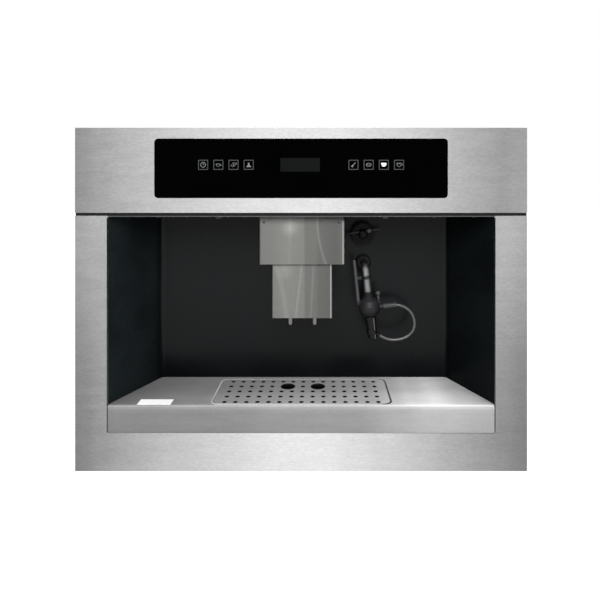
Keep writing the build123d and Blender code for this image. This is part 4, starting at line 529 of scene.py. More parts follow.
# ---- glass and print
black_glass = finish(
    "black_glass", MOULDED, ("Slow", "Slow"), (0.0003, 0.0003, 0.0004), (0.03, 0.06), 0.3,
    specular=0.006,
)
display_grey = finish(
    "display_window", MOULDED, ("Slow", "Slow"), (0.0045, 0.0051, 0.0049), (0.2, 0.3), 0.1,
    specular=0.008,
)
print_grey = printed("printed_line", (0.028, 0.029, 0.030), 0.12)
print_mid = printed("printed_sign", (0.105, 0.108, 0.11), 0.12)
print_light = printed("printed_fill", (0.62, 0.63, 0.64), 0.08)

# ---- niche, lamps and seam
niche_black = plastic(
    "niche_lining", (0.0016, 0.0021, 0.0023), (0.22, 0.34), 0.25, 900.0, 0.10, specular=0.09
)
# painted light on the niche's side walls, the left one much lighter than the right
LINING_PAINTED_LIGHT = [(-0.256, 5.5), (-0.222, 4.0), (-0.214, 1.0), (0.214, 1.0), (0.222, 1.8), (0.256, 2.0)]
painted_along(niche_black, "X", LINING_PAINTED_LIGHT)
# painted shadow: a black strip that fills the gap under the control panel
seam_shadow_black = plastic("seam_painted_shadow", (0.004, 0.004, 0.004), (0.6, 0.75), 0.2, specular=0.1)
# painted shade: a dark grey strip laid over the frame's top edge above the niche
top_bar_shade_grey = plastic("top_bar_painted_shade", (0.040, 0.040, 0.042), (0.5, 0.6), 0.1, specular=0.1)
lamp_lens = plastic("lamp_lens", (0.060, 0.060, 0.057), (0.3, 0.4), 0.05, 1200.0, 0.1, specular=0.2)
ring_dark = metal("lamp_ring", (0.035, 0.035, 0.035), (0.3, 0.4), 0.08)

# ---- steam wand and knob
rosette_black = plastic("rosette_plastic", (0.0060, 0.0060, 0.0064), (0.3, 0.4), specular=0.06)
nozzle_black = plastic("outlet_plastic", (0.0036, 0.0036, 0.0039), (0.16, 0.24), specular=0.10)
valve_grey = plastic("valve_plastic", (0.032, 0.032, 0.034), (0.36, 0.46), specular=0.2)
frother_grey = plastic("frother_plastic", (0.0065, 0.0065, 0.0072), (0.38, 0.5), 0.12, specular=0.11)
# painted light on the upper half of the frother's dome, and painted shade above it on the collar
FROTHER_PAINTED_LIGHT = [
    (0.150, 1.0), (0.196, 0.9), (0.205, 1.5), (0.212, 1.9), (0.2155, 1.7), (0.219, 0.6), (0.240, 0.6),
]
painted_along(frother_grey, "Z", FROTHER_PAINTED_LIGHT)
knob_black = plastic("knob_plastic", (0.0014, 0.0014, 0.0016), (0.2, 0.3), 0.1, specular=0.05)
# painted light: every face that does not look to the front, the flutes and rim, is made lighter
FLUTE_PAINTED_LIGHT = 30.0  # the knob's flutes are lighter than its face by this factor
tinted_by(
    knob_black, mixed(knob_black.node_tree, upright(knob_black.node_tree), FLUTE_PAINTED_LIGHT, 1.0)
)
grip_grey = plastic("grip_coating", (0.034, 0.034, 0.037), (0.34, 0.44), 0.1, specular=0.25)
ROD_EDGE_TONES = [(-0.0185, 1.0), (-0.0130, 1.0), (-0.0120, 0.10), (0.008, 0.10)]
tinted_by(grip_grey, tone_in_wand(grip_grey.node_tree, ROD_EDGE_TONES))
chrome = metal(
    "polished_chrome", (0.155, 0.157, 0.160), (0.40, 0.56), 0.10, relief=1.0, height=0.0008
)
# painted shade: the chrome is darker over the top of its bend
PIPE_PAINTED_SHADE = [(0.150, 1.0), (0.257, 1.0), (0.2655, 0.25), (0.275, 0.15)]
painted_along(chrome, "Z", PIPE_PAINTED_SHADE)
silicone = plastic(
    "hose_silicone", (0.034, 0.035, 0.037), (0.28, 0.38), 0.12, 700.0, 0.06, Subsurface_Weight=0.15
)
sleeve_grey = plastic("hose_sleeve", (0.030, 0.030, 0.032), (0.3, 0.4), 0.1, specular=0.2)
lance_steel = metal("lance_steel", (0.095, 0.095, 0.095), (0.25, 0.35), 0.06)
lever_black = plastic("lever_plastic", (0.0030, 0.0030, 0.0034), (0.3, 0.4), 0.1, specular=0.06)
rod_grey = plastic("lever_rod", (0.014, 0.014, 0.015), (0.3, 0.4), 0.1, specular=0.2)
# a boss on the lever in a lighter grey than the lever, partly its own colour and partly painted glint
boss_painted_glint = plastic("lever_boss_glint", (0.045, 0.046, 0.048), (0.3, 0.4), 0.1, specular=0.3)

# ---- body and what is inside it
galvanised = finish(
    "galvanised", SPANGLE, ("Crystals", "Slow"), (0.46, 0.48, 0.50), (0.40, 0.5), 0.055, 0.05, 0.0004,
    edge=0.4 * MM, Metallic=1.0,
)
bright_zinc = finish(
    "zinc_plate", BRUSHED, SCRATCHED, (0.58, 0.59, 0.60), (0.22, 0.34), 0.08, 0.1, 0.00003,
    edge=0.3 * MM, Metallic=1.0,
)
ground_steel = finish(
    "ground_steel", BRUSHED, SCRATCHED, (0.36, 0.36, 0.37), (0.2, 0.3), 0.1, 0.2, Metallic=1.0
)
screw_steel = metal("screw_steel", (0.50, 0.50, 0.51), (0.2, 0.32), 0.12, 0.08)
brass = metal("turned_brass", (0.55, 0.39, 0.15), (0.2, 0.34), 0.14, 0.1)
cast_metal = metal("cast_metal", (0.42, 0.42, 0.43), (0.42, 0.58), 0.1, 0.4)
dark_plastic = plastic("dark_plastic", (0.009, 0.009, 0.010), (0.34, 0.46), specular=0.15)
grey_plastic = plastic("grey_plastic", (0.13, 0.135, 0.14), (0.38, 0.5))
line_silicone = plastic("line_silicone", (0.45, 0.46, 0.47), (0.3, 0.4), 0.08, 700.0, 0.06)
black_paint = plastic("black_paint", (0.025, 0.025, 0.027), (0.4, 0.55), 0.15, 1100.0, 0.3)
circuit = plastic("circuit_board", (0.012, 0.085, 0.038), (0.3, 0.42), 0.2, 500.0, 0.1)
clear_tank = plastic(
    "clear_tank", (0.72, 0.80, 0.84), (0.04, 0.09), 0.03, 300.0, 0.02,
    Transmission_Weight=0.85, IOR=1.49,
)
smoked = plastic(
    "smoked_hopper", (0.20, 0.17, 0.15), (0.05, 0.10), 0.05, 300.0, 0.02,
    Transmission_Weight=0.6, IOR=1.49,
)

FINISHES = {
    stainless: ["control_panel"],
    frame_steel: ["front_frame"],
    tray_steel: ["tray_platform", "drip_grid"],
    hood_sheet: ["spout_cover"],
    sleeve_sheet: ["spout_slider"],
    galvanised: [
        "cradle_plate", "rail_brackets", "chassis_pan", "side_panel_left", "side_panel_right",
        "rear_panel", "top_cover", "bulkhead", "grinder_stand", "service_door",
    ],
    bright_zinc: ["outer_rails", "middle_rails", "inner_rails", "brew_spindle"],
    black_glass: ["control_glass"],
    circuit: ["touch_board", "power_board"],
    niche_black: ["niche_liner"],
    lamp_lens: ["niche_lamps"],
    dark_plastic: [
        "spout_guide", "coffee_manifold", "drip_pan", "grind_knob", "brew_piston", "mains_inlet",
    ],
    rosette_black: ["wand_rosette"],
    nozzle_black: ["spray_nozzle"],
    valve_grey: ["air_valve"],
    frother_grey: ["frother_body"],
    grip_grey: ["wand_grip"],
    knob_black: ["steam_knob", "mains_rocker"],
    chrome: ["steam_pipe"],
    silicone: ["milk_hose"],
    line_silicone: ["coffee_line", "water_hoses"],
    brass: ["steam_valve"],
    ground_steel: ["boiler", "ring_burr", "cone_burr"],
    black_paint: ["pump", "grinder_motor", "brew_motor"],
    cast_metal: ["grinder_housing"],
    clear_tank: ["water_tank"],
    smoked: ["bean_hopper"],
    grey_plastic: [
        "tank_seat", "tank_lid", "hopper_lid", "brew_frame", "brew_chamber", "coffee_chute",
        "coffee_flap", "grounds_container",
    ],
}
for material, names in FINISHES.items():
    for name in names:
        slots = NODES[name].data.materials
        slots.clear()
        slots.append(material)


# ---- objects and meshes
def in_scene(name, data):
    """A new object that is linked into the scene."""
    obj = bpy.data.objects.new(name, data)
    bpy.context.scene.collection.objects.link(obj)
    return obj


def piece(name, bm, material, body, smooth=False):
    """Turns a bmesh into an object that rides on a body."""
    bmesh.ops.recalc_face_normals(bm, faces=bm.faces)
    mesh = bpy.data.meshes.new(name)
    bm.to_mesh(mesh)
    bm.free()
    if smooth:
        mesh.shade_smooth()
        mesh.set_sharp_from_angle(angle=math.radians(35))
    mesh.materials.append(material)
    obj = in_scene(name, mesh)
    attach(obj, body)


LEVEL = Matrix.Rotation(math.radians(90), 4, "X")  # an outline in the front view laid flat


def in_mm(points):
    """Points given in millimetres."""
    return [(a * MM, b * MM) for a, b in points]


def made_since(bm, old):
    return [v for v in bm.verts if v not in old]


def closed_edges(bm, points):
    """A closed line of edges through points."""
    verts = [bm.verts.new(point) for point in points]
    return [bm.edges.new(pair) for pair in zip(verts, verts[1:] + verts[:1])]


def thickened(bm, faces, depth, place, old):
    """Gives flat faces in the front view a thickness backwards, and puts them in place."""
    extruded = bmesh.ops.extrude_face_region(bm, geom=faces)["geom"]
    moved = [v for v in extruded if isinstance(v, bmesh.types.BMVert)]
    bmesh.ops.translate(bm, verts=moved, vec=(0.0, depth, 0.0))
    if place:
        bmesh.ops.transform(bm, matrix=place, verts=made_since(bm, old))


def add_prism(bm, outline, depth, place=None):
    """A flat outline of (x, z) points in the front view, given a thickness backwards from its face."""
    old = set(bm.verts)
    edges = closed_edges(bm, [(x, 0.0, z) for x, z in outline])
    faces = bmesh.ops.edgeloop_fill(bm, edges=edges)["faces"]
    thickened(bm, faces, depth, place, old)


def add_ring(bm, outer, inner, depth, place=None):
    """A flat frame between two outlines with the same number of points."""
    old = set(bm.verts)
    edges = []
    for outline in (outer, inner):
        edges += closed_edges(bm, [(x, 0.0, z) for x, z in outline])
    faces = bmesh.ops.bridge_loops(bm, edges=edges)["faces"]
    thickened(bm, faces, depth, place, old)


def add_turned(bm, profile, place, steps=32):
    """Spins an outline of (radius, height) about Z and puts it in place."""
    old = set(bm.verts)
    verts = [bm.verts.new((radius, 0.0, height)) for radius, height in profile]
    edges = [bm.edges.new(pair) for pair in zip(verts, verts[1:])]
    bmesh.ops.spin(
        bm, geom=verts + edges, axis=(0.0, 0.0, 1.0), cent=(0.0, 0.0, 0.0), angle=2 * math.pi,
        steps=steps, use_merge=True,
    )
    bmesh.ops.remove_doubles(bm, verts=made_since(bm, old), dist=1e-6)
    bmesh.ops.transform(bm, matrix=place, verts=made_since(bm, old))


def add_block(bm, low, high, bevel=0.0):
    """A block between two corners with its edges rounded."""
    verts = bmesh.ops.create_cube(bm, size=1.0)["verts"]
    size = Vector(high) - Vector(low)
    bmesh.ops.scale(bm, vec=size, verts=verts)
    bmesh.ops.translate(bm, vec=(Vector(high) + Vector(low)) / 2, verts=verts)
    if bevel:
        edges = list({e for v in verts for e in v.link_edges})
        bmesh.ops.bevel(
            bm, geom=edges, offset=bevel, segments=3, affect="EDGES", profile=0.5, material=-1
        )


def circle(radius, steps=32, centre=(0.0, 0.0), start=0.0, end=2 * math.pi, closed=True):
    """Points round a circle or, when not closed, along an arc with both its ends."""
    turns = [start + (end - start) * k / steps for k in range(steps if closed else steps + 1)]
    return [(centre[0] + radius * math.cos(a), centre[1] + radius * math.sin(a)) for a in turns]


def rounded_outline(width, height, radius, steps=6):
    """A rectangle about the origin with round corners."""
    points = []
    for turn, (sx, sz) in enumerate(((1, 1), (-1, 1), (-1, -1), (1, -1))):
        centre = (sx * (width / 2 - radius), sz * (height / 2 - radius))
        start = turn * math.pi / 2
        points += circle(radius, steps, centre, start, start + math.pi / 2, closed=False)
    return points


def turned_piece(name, profile, place, steps, material, body):
    """A turned shape as a piece of its own."""
    bm = bmesh.new()
    add_turned(bm, profile, place, steps)
    piece(name, bm, material, body, smooth=True)


def facing(x, y, z, direction):
    """A place whose local Z points along a direction."""
    turn = Vector(direction).to_track_quat("Z", "Y").to_matrix().to_4x4()
    return Matrix.Translation((x, y, z)) @ turn


# ---- pictograms on the touch glass
PAD = 13 * MM
PAD_PITCH = 20 * MM
PAD_FIRST = 69 * MM  # from the middle to the nearest pad on either side
PAD_Z = (glass_lo.z + glass_hi.z) / 2 + 4.7 * MM
LINE = 0.9 * MM
GLASS_Y = glass_lo.y


def cup(width, height, lift=0.0):
    """Outline of a bowl-shaped cup."""
    half = width / 2
    return [(-half, lift + height / 2)] + [
        (half * math.cos(a), lift + height / 2 - height * math.sin(a))
        for a in [math.pi - math.pi * k / 10 for k in range(1, 10)]
    ] + [(half, lift + height / 2)]


def scaled(outline, share):
    """An outline drawn in towards its middle."""
    cx = sum(x for x, _ in outline) / len(outline)
    cz = sum(z for _, z in outline) / len(outline)
    return [(cx + (x - cx) * share, cz + (z - cz) * share) for x, z in outline]


def cup_with_handle(bm, body, hollow, handle_at, handle, place):
    """A cup's outline with a round handle at its side; handle is (outer, inner) radius in mm."""
    add_ring(bm, body, scaled(body, hollow), SKIN, place)
    side = Matrix.Translation((handle_at[0] * MM, 0, handle_at[1] * MM))
    outer, inner = (circle(radius * MM, 16) for radius in handle)
    add_ring(bm, outer, inner, SKIN, place @ side)


def pictogram(bm, kind, place):
    """One of the plain signs: clock, cup, two cups, steam, brush, bean, cup outline."""
    flat = []
    turn = place
    if kind == "clock":
        add_ring(bm, circle(3.6 * MM, 28), circle(2.9 * MM, 28), SKIN, place)
        flat = [
            [(-0.3, 0), (0.3, 0), (0.3, 2.2), (-0.3, 2.2)],
            [(0, 0.3), (0, -0.3), (1.6, -0.3), (1.6, 0.3)],
        ]
    elif kind in ("cup", "cups"):
        spots = ((-0.4, -0.6),) if kind == "cup" else ((-1.4, -1.4), (1.2, 1.2))
        size = 5.6 if kind == "cup" else 4.2
        for sx, sz in spots:
            put = place @ Matrix.Translation((sx * MM, 0, sz * MM))
            body = cup(size * MM, size * 0.72 * MM)
            cup_with_handle(bm, body, 0.74, (size * 0.55, 0.5), (1.2, 0.65), put)
    elif kind == "steam":
        flat = [[
            (-3.2, -3.0), (3.2, -3.0), (3.0, -1.9), (1.5, -1.2), (0.9, 2.6), (-0.9, 2.6), (-1.5, -1.2),
            (-3.0, -1.9),
        ]]
    elif kind == "brush":
        turn = place @ Matrix.Rotation(math.radians(40), 4, "Y")
        flat = [
            [(-0.5, -0.6), (0.5, -0.6), (0.4, 4.2), (-0.4, 4.2)],
            [(-1.2, -3.6), (0.9, -3.9), (1.0, -0.8), (-1.0, -0.8)],
        ]
    elif kind == "bean":
        oval = [(x * 1.45, z * 0.95) for x, z in circle(2.5 * MM, 28)]
        add_ring(bm, oval, scaled(oval, 0.78), SKIN, place)
        wave = [(-2.4 + 0.6 * k, 0.5 * math.sin(k * 0.8)) for k in range(9)]
        flat = [[(x, z + 0.25) for x, z in wave] + [(x, z - 0.25) for x, z in reversed(wave)]]
    elif kind == "outline":
        body = cup(6.4 * MM, 4.6 * MM, -0.6 * MM)
        cup_with_handle(bm, body, 0.76, (3.6, 0.4), (1.3, 0.7), place)
        flat = [[(-3.4, 2.3), (3.4, 2.3), (3.4, 2.7), (-3.4, 2.7)]]
    for outline in flat:
        add_prism(bm, in_mm(outline), SKIN, turn)


def build_pictograms():
    kinds = ["clock", "cup", "cups", "steam", "brush", "bean", "filled", "outline"]
    lines, signs, fills = bmesh.new(), bmesh.new(), bmesh.new()
    for n, kind in enumerate(kinds):
        side = -1 if n < 4 else 1
        step = n - 3 if n < 4 else n - 4
        x = side * PAD_FIRST + step * PAD_PITCH
        place = Matrix.Translation((x, GLASS_Y - SKIN, PAD_Z))
        outer = rounded_outline(PAD, PAD, 0.8 * MM)
        inner = rounded_outline(PAD - 2 * LINE, PAD - 2 * LINE, 0.3 * MM)
        add_ring(lines, outer, inner, SKIN, place)
        if kind == "filled":
            add_prism(fills, cup(7.0 * MM, 5.0 * MM), SKIN, place)
        else:
            pictogram(signs, kind, place)
    piece("pictogram_lines", lines, print_grey, "machine")
    piece("pictogram_signs", signs, print_mid, "machine")
    piece("pictogram_fill", fills, print_light, "machine")
    window = bmesh.new()
    place = Matrix.Translation((-1.3 * MM, GLASS_Y - SKIN, PAD_Z))
    add_prism(window, rounded_outline(52 * MM, 18 * MM, 1.0 * MM), SKIN, place)
    piece("display_window", window, display_grey, "machine")


# ---- seam under the control panel
def build_seam():
    """A black strip of painted shadow in the gap between panel and frame, and a dark grey strip of
    painted shade over the frame's top edge.
    """
    bm = bmesh.new()
    inset = 0.2 * MM
    low = (panel_lo.x + inset, Y_FACE + 0.8 * MM, front_hi.z - 0.2 * MM)
    high = (panel_hi.x - inset, Y_FACE + 17.0 * MM, panel_lo.z + 0.2 * MM)
    add_block(bm, low, high, 0.3 * MM)
    piece("seam_shadow_strip", bm, seam_shadow_black, "machine")
    # painted shade over the frame's top edge
    top_shade = bmesh.new()
    reach = (tray_hi.x - tray_lo.x) / 2
    low = (-reach, Y_FACE - SKIN, liner_hi.z - 2.5 * MM + SKIN)
    high = (reach, Y_FACE + 2.6 * MM, front_hi.z + SKIN)
    add_block(top_shade, low, high, 0.1 * MM)
    piece("top_bar_shade_strip", top_shade, top_bar_shade_grey, "machine")


# ---- screws
BODY_SCREW_R = 3.4 * MM
HOOD_SCREW_R = 1.7 * MM


def add_screw(bm, x, y, z, direction, radius):
    """Pan head with a cross recess."""
    head = bmesh.new()
    height = radius * 0.55
    dome = [
        (0.0, 0.0), (radius, 0.0), (radius, 0.35 * height), (0.9 * radius, 0.75 * height),
        (0.68 * radius, height),
    ]
    add_turned(head, dome, Matrix.Identity(4), 24)
    rim = [e for e in head.edges if e.is_boundary]
    arm, half = 0.52 * radius, 0.11 * radius
    cross = [
        (arm, half), (half, half), (half, arm), (-half, arm), (-half, half), (-arm, half),
        (-arm, -half), (-half, -half), (-half, -arm), (half, -arm), (half, -half), (arm, -half),
    ]
    edge = closed_edges(head, [(cx, cy, height) for cx, cy in cross])
    sunk = bmesh.ops.extrude_edge_only(head, edges=edge)["geom"]
    low = [v for v in sunk if isinstance(v, bmesh.types.BMVert)]
    bmesh.ops.scale(head, vec=(0.8, 0.8, 1.0), verts=low)
    bmesh.ops.translate(head, vec=(0.0, 0.0, -0.7 * height), verts=low)
    bmesh.ops.edgeloop_fill(head, edges=[e for e in sunk if isinstance(e, bmesh.types.BMEdge)])
    bmesh.ops.bridge_loops(head, edges=rim + edge)
    bmesh.ops.transform(head, matrix=facing(x, y, z, direction), verts=head.verts)
    carrier = bpy.data.meshes.new("screw")
    head.to_mesh(carrier)
    head.free()
    bm.from_mesh(carrier)
    bpy.data.meshes.remove(carrier)


def surface(node, start, direction):
    """The first point of a node's surface met from a place along a direction."""
    obj = NODES[node]
    back = obj.matrix_world.inverted()
    hit, place, _, _ = obj.ray_cast(back @ Vector(start), back.to_3x3() @ Vector(direction))
    return obj.matrix_world @ place if hit else None


def build_body_screws():
    """Pan-head screws along the edges of the body's sheets, each set on the sheet it holds."""
    away = 0.1  # each sheet is looked for from this far outside
    margin = 12 * MM
    starts = []  # (node, place outside it, direction inwards)
    for z in (rear_lo.z + margin, (rear_lo.z + rear_hi.z) / 2, rear_hi.z - margin):
        for x in (rear_lo.x + 10 * MM, rear_hi.x - 10 * MM):
            starts.append(("rear_panel", (x, rear_hi.y + away, z), (0, -1, 0)))
    for x in (-0.13, 0.0, 0.13):
        starts.append(("rear_panel", (x, rear_hi.y + away, rear_hi.z - margin), (0, -1, 0)))
    for y in (top_lo.y + 10 * MM, (top_lo.y + top_hi.y) / 2, top_hi.y - 10 * MM):
        for x in (top_lo.x + 10 * MM, top_hi.x - 10 * MM):
            starts.append(("top_cover", (x, y, top_hi.z + away), (0, 0, -1)))
    for node, lo, hi, sign in (
        ("side_panel_left", left_lo, left_hi, -1), ("side_panel_right", right_lo, right_hi, 1),
    ):
        outside = lo.x - away if sign < 0 else hi.x + away
        for y in (lo.y + 14 * MM, (2 * lo.y + hi.y) / 3, (lo.y + 2 * hi.y) / 3, hi.y - margin):
            starts.append((node, (outside, y, hi.z - 11 * MM), (-sign, 0, 0)))
        starts.append((node, (outside, hi.y - margin, (lo.z + hi.z) / 2), (-sign, 0, 0)))
    bm = bmesh.new()
    for node, start, direction in starts:
        spot = surface(node, start, direction)
        if spot:
            add_screw(bm, *spot, [-d for d in direction], BODY_SCREW_R)
    piece("body_screws", bm, screw_steel, "machine", smooth=True)


# ---- spout details
FOLD_R = 2.5 * MM


def add_fold_highlight(bm, x, y, low, high):
    """A painted highlight on the outside of an upright fold: a thin skin over its quarter round."""
    turns = (math.radians(16), math.radians(90))
    outside = circle(FOLD_R + SKIN, 5, (x, -y), *turns, closed=False)
    inside = circle(FOLD_R, 5, (x, -y), *turns, closed=False)
    add_prism(bm, outside + inside[::-1], high - low, Matrix.Translation((0.0, 0.0, low)) @ LEVEL)


def build_spout():
    """Steel sleeves on the nozzles, painted highlights on the right folds, and two screws in the hood.
    """
    bm = bmesh.new()
    sleeve = [
        (2.1, 1.0), (2.1, -0.2), (3.2, -0.2), (3.9, 1.0), (4.05, 3.0), (3.75, 9.0), (3.75, 15.0),
        (4.6, 15.6), (4.6, 17.6), (3.55, 17.8), (2.1, 1.0),
    ]
    for x in (-NOZZLE_X, NOZZLE_X):
        add_turned(bm, in_mm(sleeve), Matrix.Translation((x, NOZZLE_Y, manifold_lo.z)))
    piece("nozzle_sleeves", bm, nozzle_steel, "spout", smooth=True)
    gap = 0.4 * MM
    for name, lo, hi, lowest, highest, body in (
        ("hood_fold_highlight", cover_lo, cover_hi, cover_lo.z + gap, cover_hi.z - 6 * MM, "machine"),
        ("sleeve_fold_highlight", slider_lo, slider_hi, slider_lo.z, cover_lo.z - gap, "spout"),
    ):
        fold = bmesh.new()
        add_fold_highlight(fold, hi.x - FOLD_R, lo.y + FOLD_R, lowest, highest)
        piece(name, fold, fold_highlight_paint, body, smooth=True)
    screws = bmesh.new()
    for x in (cover_lo.x + 7 * MM, cover_hi.x - 7 * MM):
        place = (x, cover_lo.y + 0.15 * MM, cover_hi.z - 8 * MM)
        add_screw(screws, *place, (0, -1, 0), HOOD_SCREW_R)
    piece("hood_screws", screws, hood_steel, "machine", smooth=True)


# ---- niche lamps
def build_lamp_rings():
    """The rims that hold the lamps' lenses in the niche's ceiling."""
    bm = bmesh.new()
    rim = [
        (4.6, 0.0), (5.5, 0.0), (5.6, -0.5), (5.3, -1.2), (4.9, -1.6), (4.55, -1.0), (4.6, 0.0),
    ]
    for x in (-LAMP_X, LAMP_X):
        add_turned(bm, in_mm(rim), Matrix.Translation((x, LAMP_Y, liner_hi.z - 2.5 * MM)))
    piece("lamp_rings", bm, ring_dark, "machine", smooth=True)


# ---- blank card on the platform
CARD_X = (-217.5 * MM, -173.0 * MM)
CARD_Y = (-206.5 * MM, -191.0 * MM)
CARD_Z = (0.02 * MM, 0.35 * MM)  # above the platform


def build_card():
    """The blank card that lies on the left of the platform."""
    bm = bmesh.new()
    low, high = [(x, y, tray_hi.z + z) for x, y, z in zip(CARD_X, CARD_Y, CARD_Z)]
    add_block(bm, low, high, 0.1 * MM)
    piece("blank_card", bm, white_card, "drip_tray")


# ---- milk hose
# The part's own route, as control points of one smooth spline.
HOSE_Y = -0.147
HOSE_ROUTE = [  # (x, z)
    (0.12979, 0.20539), (0.13775, 0.20622), (0.1485, 0.2020), (0.1568, 0.1945), (0.1610, 0.1840),
    (0.1610, 0.1730), (0.1555, 0.1635), (0.1460, 0.1575), (0.1345, 0.1550), (0.12075, 0.15577),
    (0.11036, 0.16177),
]


def build_hose():
    """The limp hose from the frother's barb round to the stub of the outlet."""
    curve = bpy.data.curves.new("milk_hose_curve", "CURVE")
    curve.dimensions = "3D"
    curve.bevel_depth = 2.2 * MM
    curve.bevel_resolution = 6
    curve.use_fill_caps = True
    spline = curve.splines.new("NURBS")
    spline.points.add(len(HOSE_ROUTE) - 1)
    for point, (x, z) in zip(spline.points, HOSE_ROUTE):
        point.co = (x, HOSE_Y, z, 1.0)
    spline.order_u = 3
    spline.use_endpoint_u = True
    spline.resolution_u = 10
    curve.materials.append(silicone)
    hose = in_scene("milk_hose_run", curve)
    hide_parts("milk_hose")
    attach(hose, "wand")
    x, z = HOSE_ROUTE[0]


# ---- drip grid
GRID_Y = (grid_lo.y + grid_hi.y) / 2
HOLE_PITCH = (14.7 * MM, 17.0 * MM)
HOLE_R = 1.6 * MM
DRIP_HOLE_X = 21.5 * MM
DRIP_HOLE_Y = Y_FACE + 61.0 * MM
DRIP_HOLE_R = 8.6 * MM
DRIP_HOLE_CLEAR = 12.2 * MM  # no small hole's middle is nearer to a drip hole's


def lay_ring(bm, x, y, z, inner, outer, height, steps):
    """A flat ring round a hole; the grid's holes get these as painted shade."""
    place = Matrix.Translation((x, y, z)) @ LEVEL
    add_ring(bm, circle(outer, steps), circle(inner, steps), height, place)


def build_grid_details():
    """The bead round the grid's well, and dark rims and linings of painted shade on its holes."""
    bead = bmesh.new()
    width = grid_hi.x - grid_lo.x + 0.2 * MM
    depth = grid_hi.y - grid_lo.y + 0.2 * MM
    place = Matrix.Translation((0.0, GRID_Y, tray_hi.z)) @ LEVEL
    outer = rounded_outline(width + 5.0 * MM, depth + 4.0 * MM, 10.0 * MM)
    inner = rounded_outline(width, depth, 8.0 * MM)
    add_ring(bead, outer, inner, 0.7 * MM, place)
    edges = [e for e in bead.edges if all(v.co.z > tray_hi.z + 0.5 * MM for v in e.verts)]
    bmesh.ops.bevel(
        bead, geom=edges, offset=0.5 * MM, segments=2, affect="EDGES", profile=0.5, material=-1
    )
    piece("grid_bead", bead, bead_painted_highlight, "drip_tray", smooth=True)
    shade_rings = bmesh.new()
    top = grid_hi.z
    for x in (-DRIP_HOLE_X, DRIP_HOLE_X):
        lay_ring(shade_rings, x, DRIP_HOLE_Y, top, DRIP_HOLE_R, 10.5 * MM, 0.12 * MM, 32)
        lay_ring(shade_rings, x, DRIP_HOLE_Y, top - 1.8 * MM, DRIP_HOLE_R, 8.95 * MM, 1.8 * MM, 32)
    for row in range(5):
        y = Y_FACE + 10.0 * MM + row * HOLE_PITCH[1]
        for column in range(-7, 8):
            x = column * HOLE_PITCH[0]
            reach = min(math.hypot(x - s * DRIP_HOLE_X, y - DRIP_HOLE_Y) for s in (-1, 1))
            if reach > DRIP_HOLE_CLEAR:
                lay_ring(shade_rings, x, y, top, HOLE_R, 3.1 * MM, 0.05 * MM, 12)
                lay_ring(shade_rings, x, y, top - 1.6 * MM, HOLE_R, 1.93 * MM, 1.6 * MM, 12)
    piece("hole_shade_rings", shade_rings, hole_shade_dark, "grid")


# ---- steam knob's lever
BOSS_R = 4.2 * MM
BOSS_SHARE = 0.66  # the boss's place along the lever


def build_lever():
    """The thin cross lever through the knob's hub, with a small boss on it."""
    face_y = knob_lo.y
    towards = (0, -1, 0)
    left = Vector((61.6 * MM, face_y - 0.9 * MM, 306.3 * MM))
    right = Vector((115.4 * MM, face_y - 0.9 * MM, 314.2 * MM))
    line = right - left
    length = line.length
    profile = [
        (0.0, 0.0), (1.1 * MM, 0.2 * MM), (1.6 * MM, 1.0 * MM), (1.6 * MM, length - 1.0 * MM),
        (1.1 * MM, length - 0.2 * MM), (0.0, length),
    ]
    place = facing(*left, line)
    turned_piece("lever_rod", profile, place, 16, rod_grey, "knob")
    dome = [(0.0, -2.6), (7.6, -2.6), (7.6, 0.6), (7.0, 2.2), (5.4, 3.6), (3.0, 4.4), (0.0, 4.7)]
    middle = facing((knob_lo.x + knob_hi.x) / 2, face_y, (knob_lo.z + knob_hi.z) / 2, towards)
    turned_piece("knob_hub", in_mm(dome), middle, 32, lever_black, "knob")
    arc = [k * math.pi / 12 for k in range(6)]
    ball = [(BOSS_R * math.cos(a), BOSS_R * math.sin(a)) for a in arc]
    profile = [(0.0, 0.0)] + ball + [(0.0, BOSS_R)]
    spot = left + line * BOSS_SHARE
    place = facing(spot.x, face_y, spot.z, towards)
    turned_piece("lever_boss_glint", profile, place, 24, boss_painted_glint, "knob")


# ---- wand details
LANCE_R = 0.9 * MM


def build_wand_details():
    """The sleeve on the hose's first end, and the steel lance beside the outlet nozzle."""
    profile = [
        (2.3, 19.0), (3.5, 19.0), (3.7, 17.6), (3.7, 1.2), (3.9, 0.6), (3.9, 0.0), (2.9, 0.0),
        (2.3, 19.0),
    ]
    start = WAND @ Vector((20.1 * MM, 0.0, -61.0 * MM))
    outwards = WAND.to_3x3() @ Vector((1, 0, 0))
    place = facing(*start, outwards)
    turned_piece("hose_sleeve", in_mm(profile), place, 24, sleeve_grey, "wand")
    top = WAND @ Vector((3.9 * MM, -7.0 * MM, -75.0 * MM))
    foot = WAND @ Vector((3.4 * MM, -5.6 * MM, -104.5 * MM))
    length = (top - foot).length
    tube = [(0.0, 0.0), (LANCE_R, 0.0), (LANCE_R, length), (0.0, length)]
    place = facing(*foot, top - foot)
    turned_piece("steam_lance", tube, place, 16, lance_steel, "wand")


# ---- camera, floor, light
EYE = (0.0282, Y_FACE - 0.650, 0.378)
FLOOR_HALF = 6.0
SENSOR = 36.0
LENS = 29.63
SHIFT = (-0.0375, -0.1909)
WHITE = (1.0, 1.0, 1.0, 1.0)


def build_camera():
    """Front view from nearby, above the machine's middle, with the picture plane upright."""
    data = bpy.data.cameras.new("camera")
    data.sensor_width = SENSOR
    data.lens = LENS
    data.shift_x, data.shift_y = SHIFT
    camera = in_scene("camera", data)
    camera.location = EYE
    camera.rotation_euler = (math.radians(90), 0.0, 0.0)
    bpy.context.scene.camera = camera


def seen_directly(tree):
    """1 for camera, glossy and transmission rays, else 0."""
    rays = add(tree, "LightPath")
    camera, glossy, passed = (rays.outputs[f"Is {n} Ray"] for n in ("Camera", "Glossy", "Transmission"))
    return calculated(tree, "MAXIMUM", calculated(tree, "MAXIMUM", camera, glossy), passed)


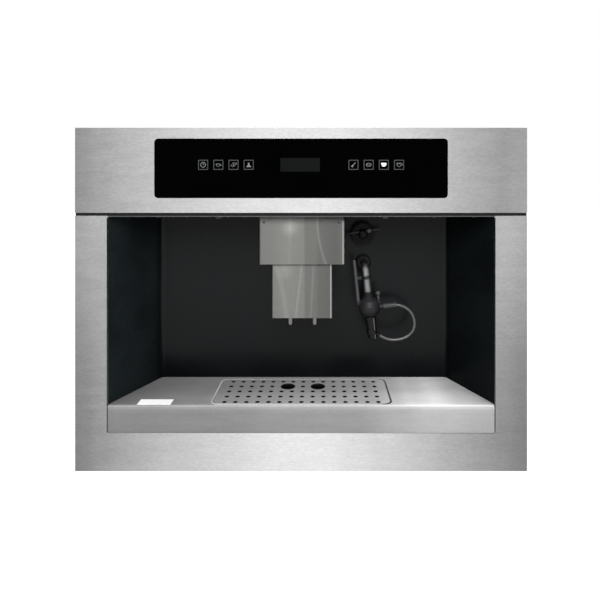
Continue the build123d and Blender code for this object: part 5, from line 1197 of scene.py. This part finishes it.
def build_world():
    """White where it is seen or mirrored, dimmer as a source of light."""
    world = bpy.data.worlds.new("studio")
    bpy.context.scene.world = world
    world.use_nodes = True
    tree = world.node_tree
    strength = ranged(tree, seen_directly(tree), low=0.30)
    join(strength, tree.nodes["Background"].inputs["Strength"])
    tree.nodes["Background"].inputs["Color"].default_value = WHITE


def build_floor():
    """A white floor that takes the machine's shadow and goes over into the white far away."""
    mesh = bpy.data.meshes.new("floor")
    bm = bmesh.new()
    below = Matrix.Translation((0.0, 0.0, -0.1 * MM))
    bmesh.ops.create_grid(bm, x_segments=1, y_segments=1, size=FLOOR_HALF, matrix=below)
    bm.to_mesh(mesh)
    bm.free()
    floor = in_scene("floor", mesh)
    material = bpy.data.materials.new("floor")
    material.use_nodes = True
    tree = material.node_tree
    bsdf = surface_shader(material)
    bsdf.inputs["Base Color"].default_value = (0.8, 0.8, 0.8, 1.0)
    bsdf.inputs["Roughness"].default_value = 0.9
    bsdf.inputs["Emission Color"].default_value = WHITE
    far = add(tree, "VectorMath", operation="LENGTH")
    join(own_place(tree), far.inputs[0])
    rise = ranged(tree, far.outputs["Value"], 0.8, 2.2, 0.60, 1.0)
    glow = calculated(tree, "MULTIPLY", rise, seen_directly(tree))
    join(glow, bsdf.inputs["Emission Strength"])
    mesh.materials.append(material)


def area_light(name, place, aim, size, power):
    """A rectangular softbox aimed at a point."""
    data = bpy.data.lights.new(name, "AREA")
    data.shape = "RECTANGLE"
    data.size, data.size_y = size
    data.energy = power
    light = in_scene(name, data)
    light.location = place
    light.rotation_euler = (Vector(aim) - Vector(place)).to_track_quat("-Z", "Y").to_euler()


def build_lights():
    area_light("front_softbox", (-0.07, -2.3, 1.55), (0.0, -0.2, 0.23), (1.65, 1.3), 100.0)
    area_light("side_softbox", (1.25, -1.55, 0.95), (0.05, -0.15, 0.25), (0.35, 1.4), 4.5)
    area_light("top_softbox", (0.30, -0.45, 1.7), (0.10, -0.10, 0.1), (0.9, 0.7), 2.0)


build_pictograms()
build_seam()
build_spout()
build_lamp_rings()
build_hose()
build_grid_details()
build_lever()
build_wand_details()
build_camera()
build_world()
build_floor()
build_lights()
build_body_screws()
build_card()
bpy.context.scene.view_settings.view_transform = "Standard"
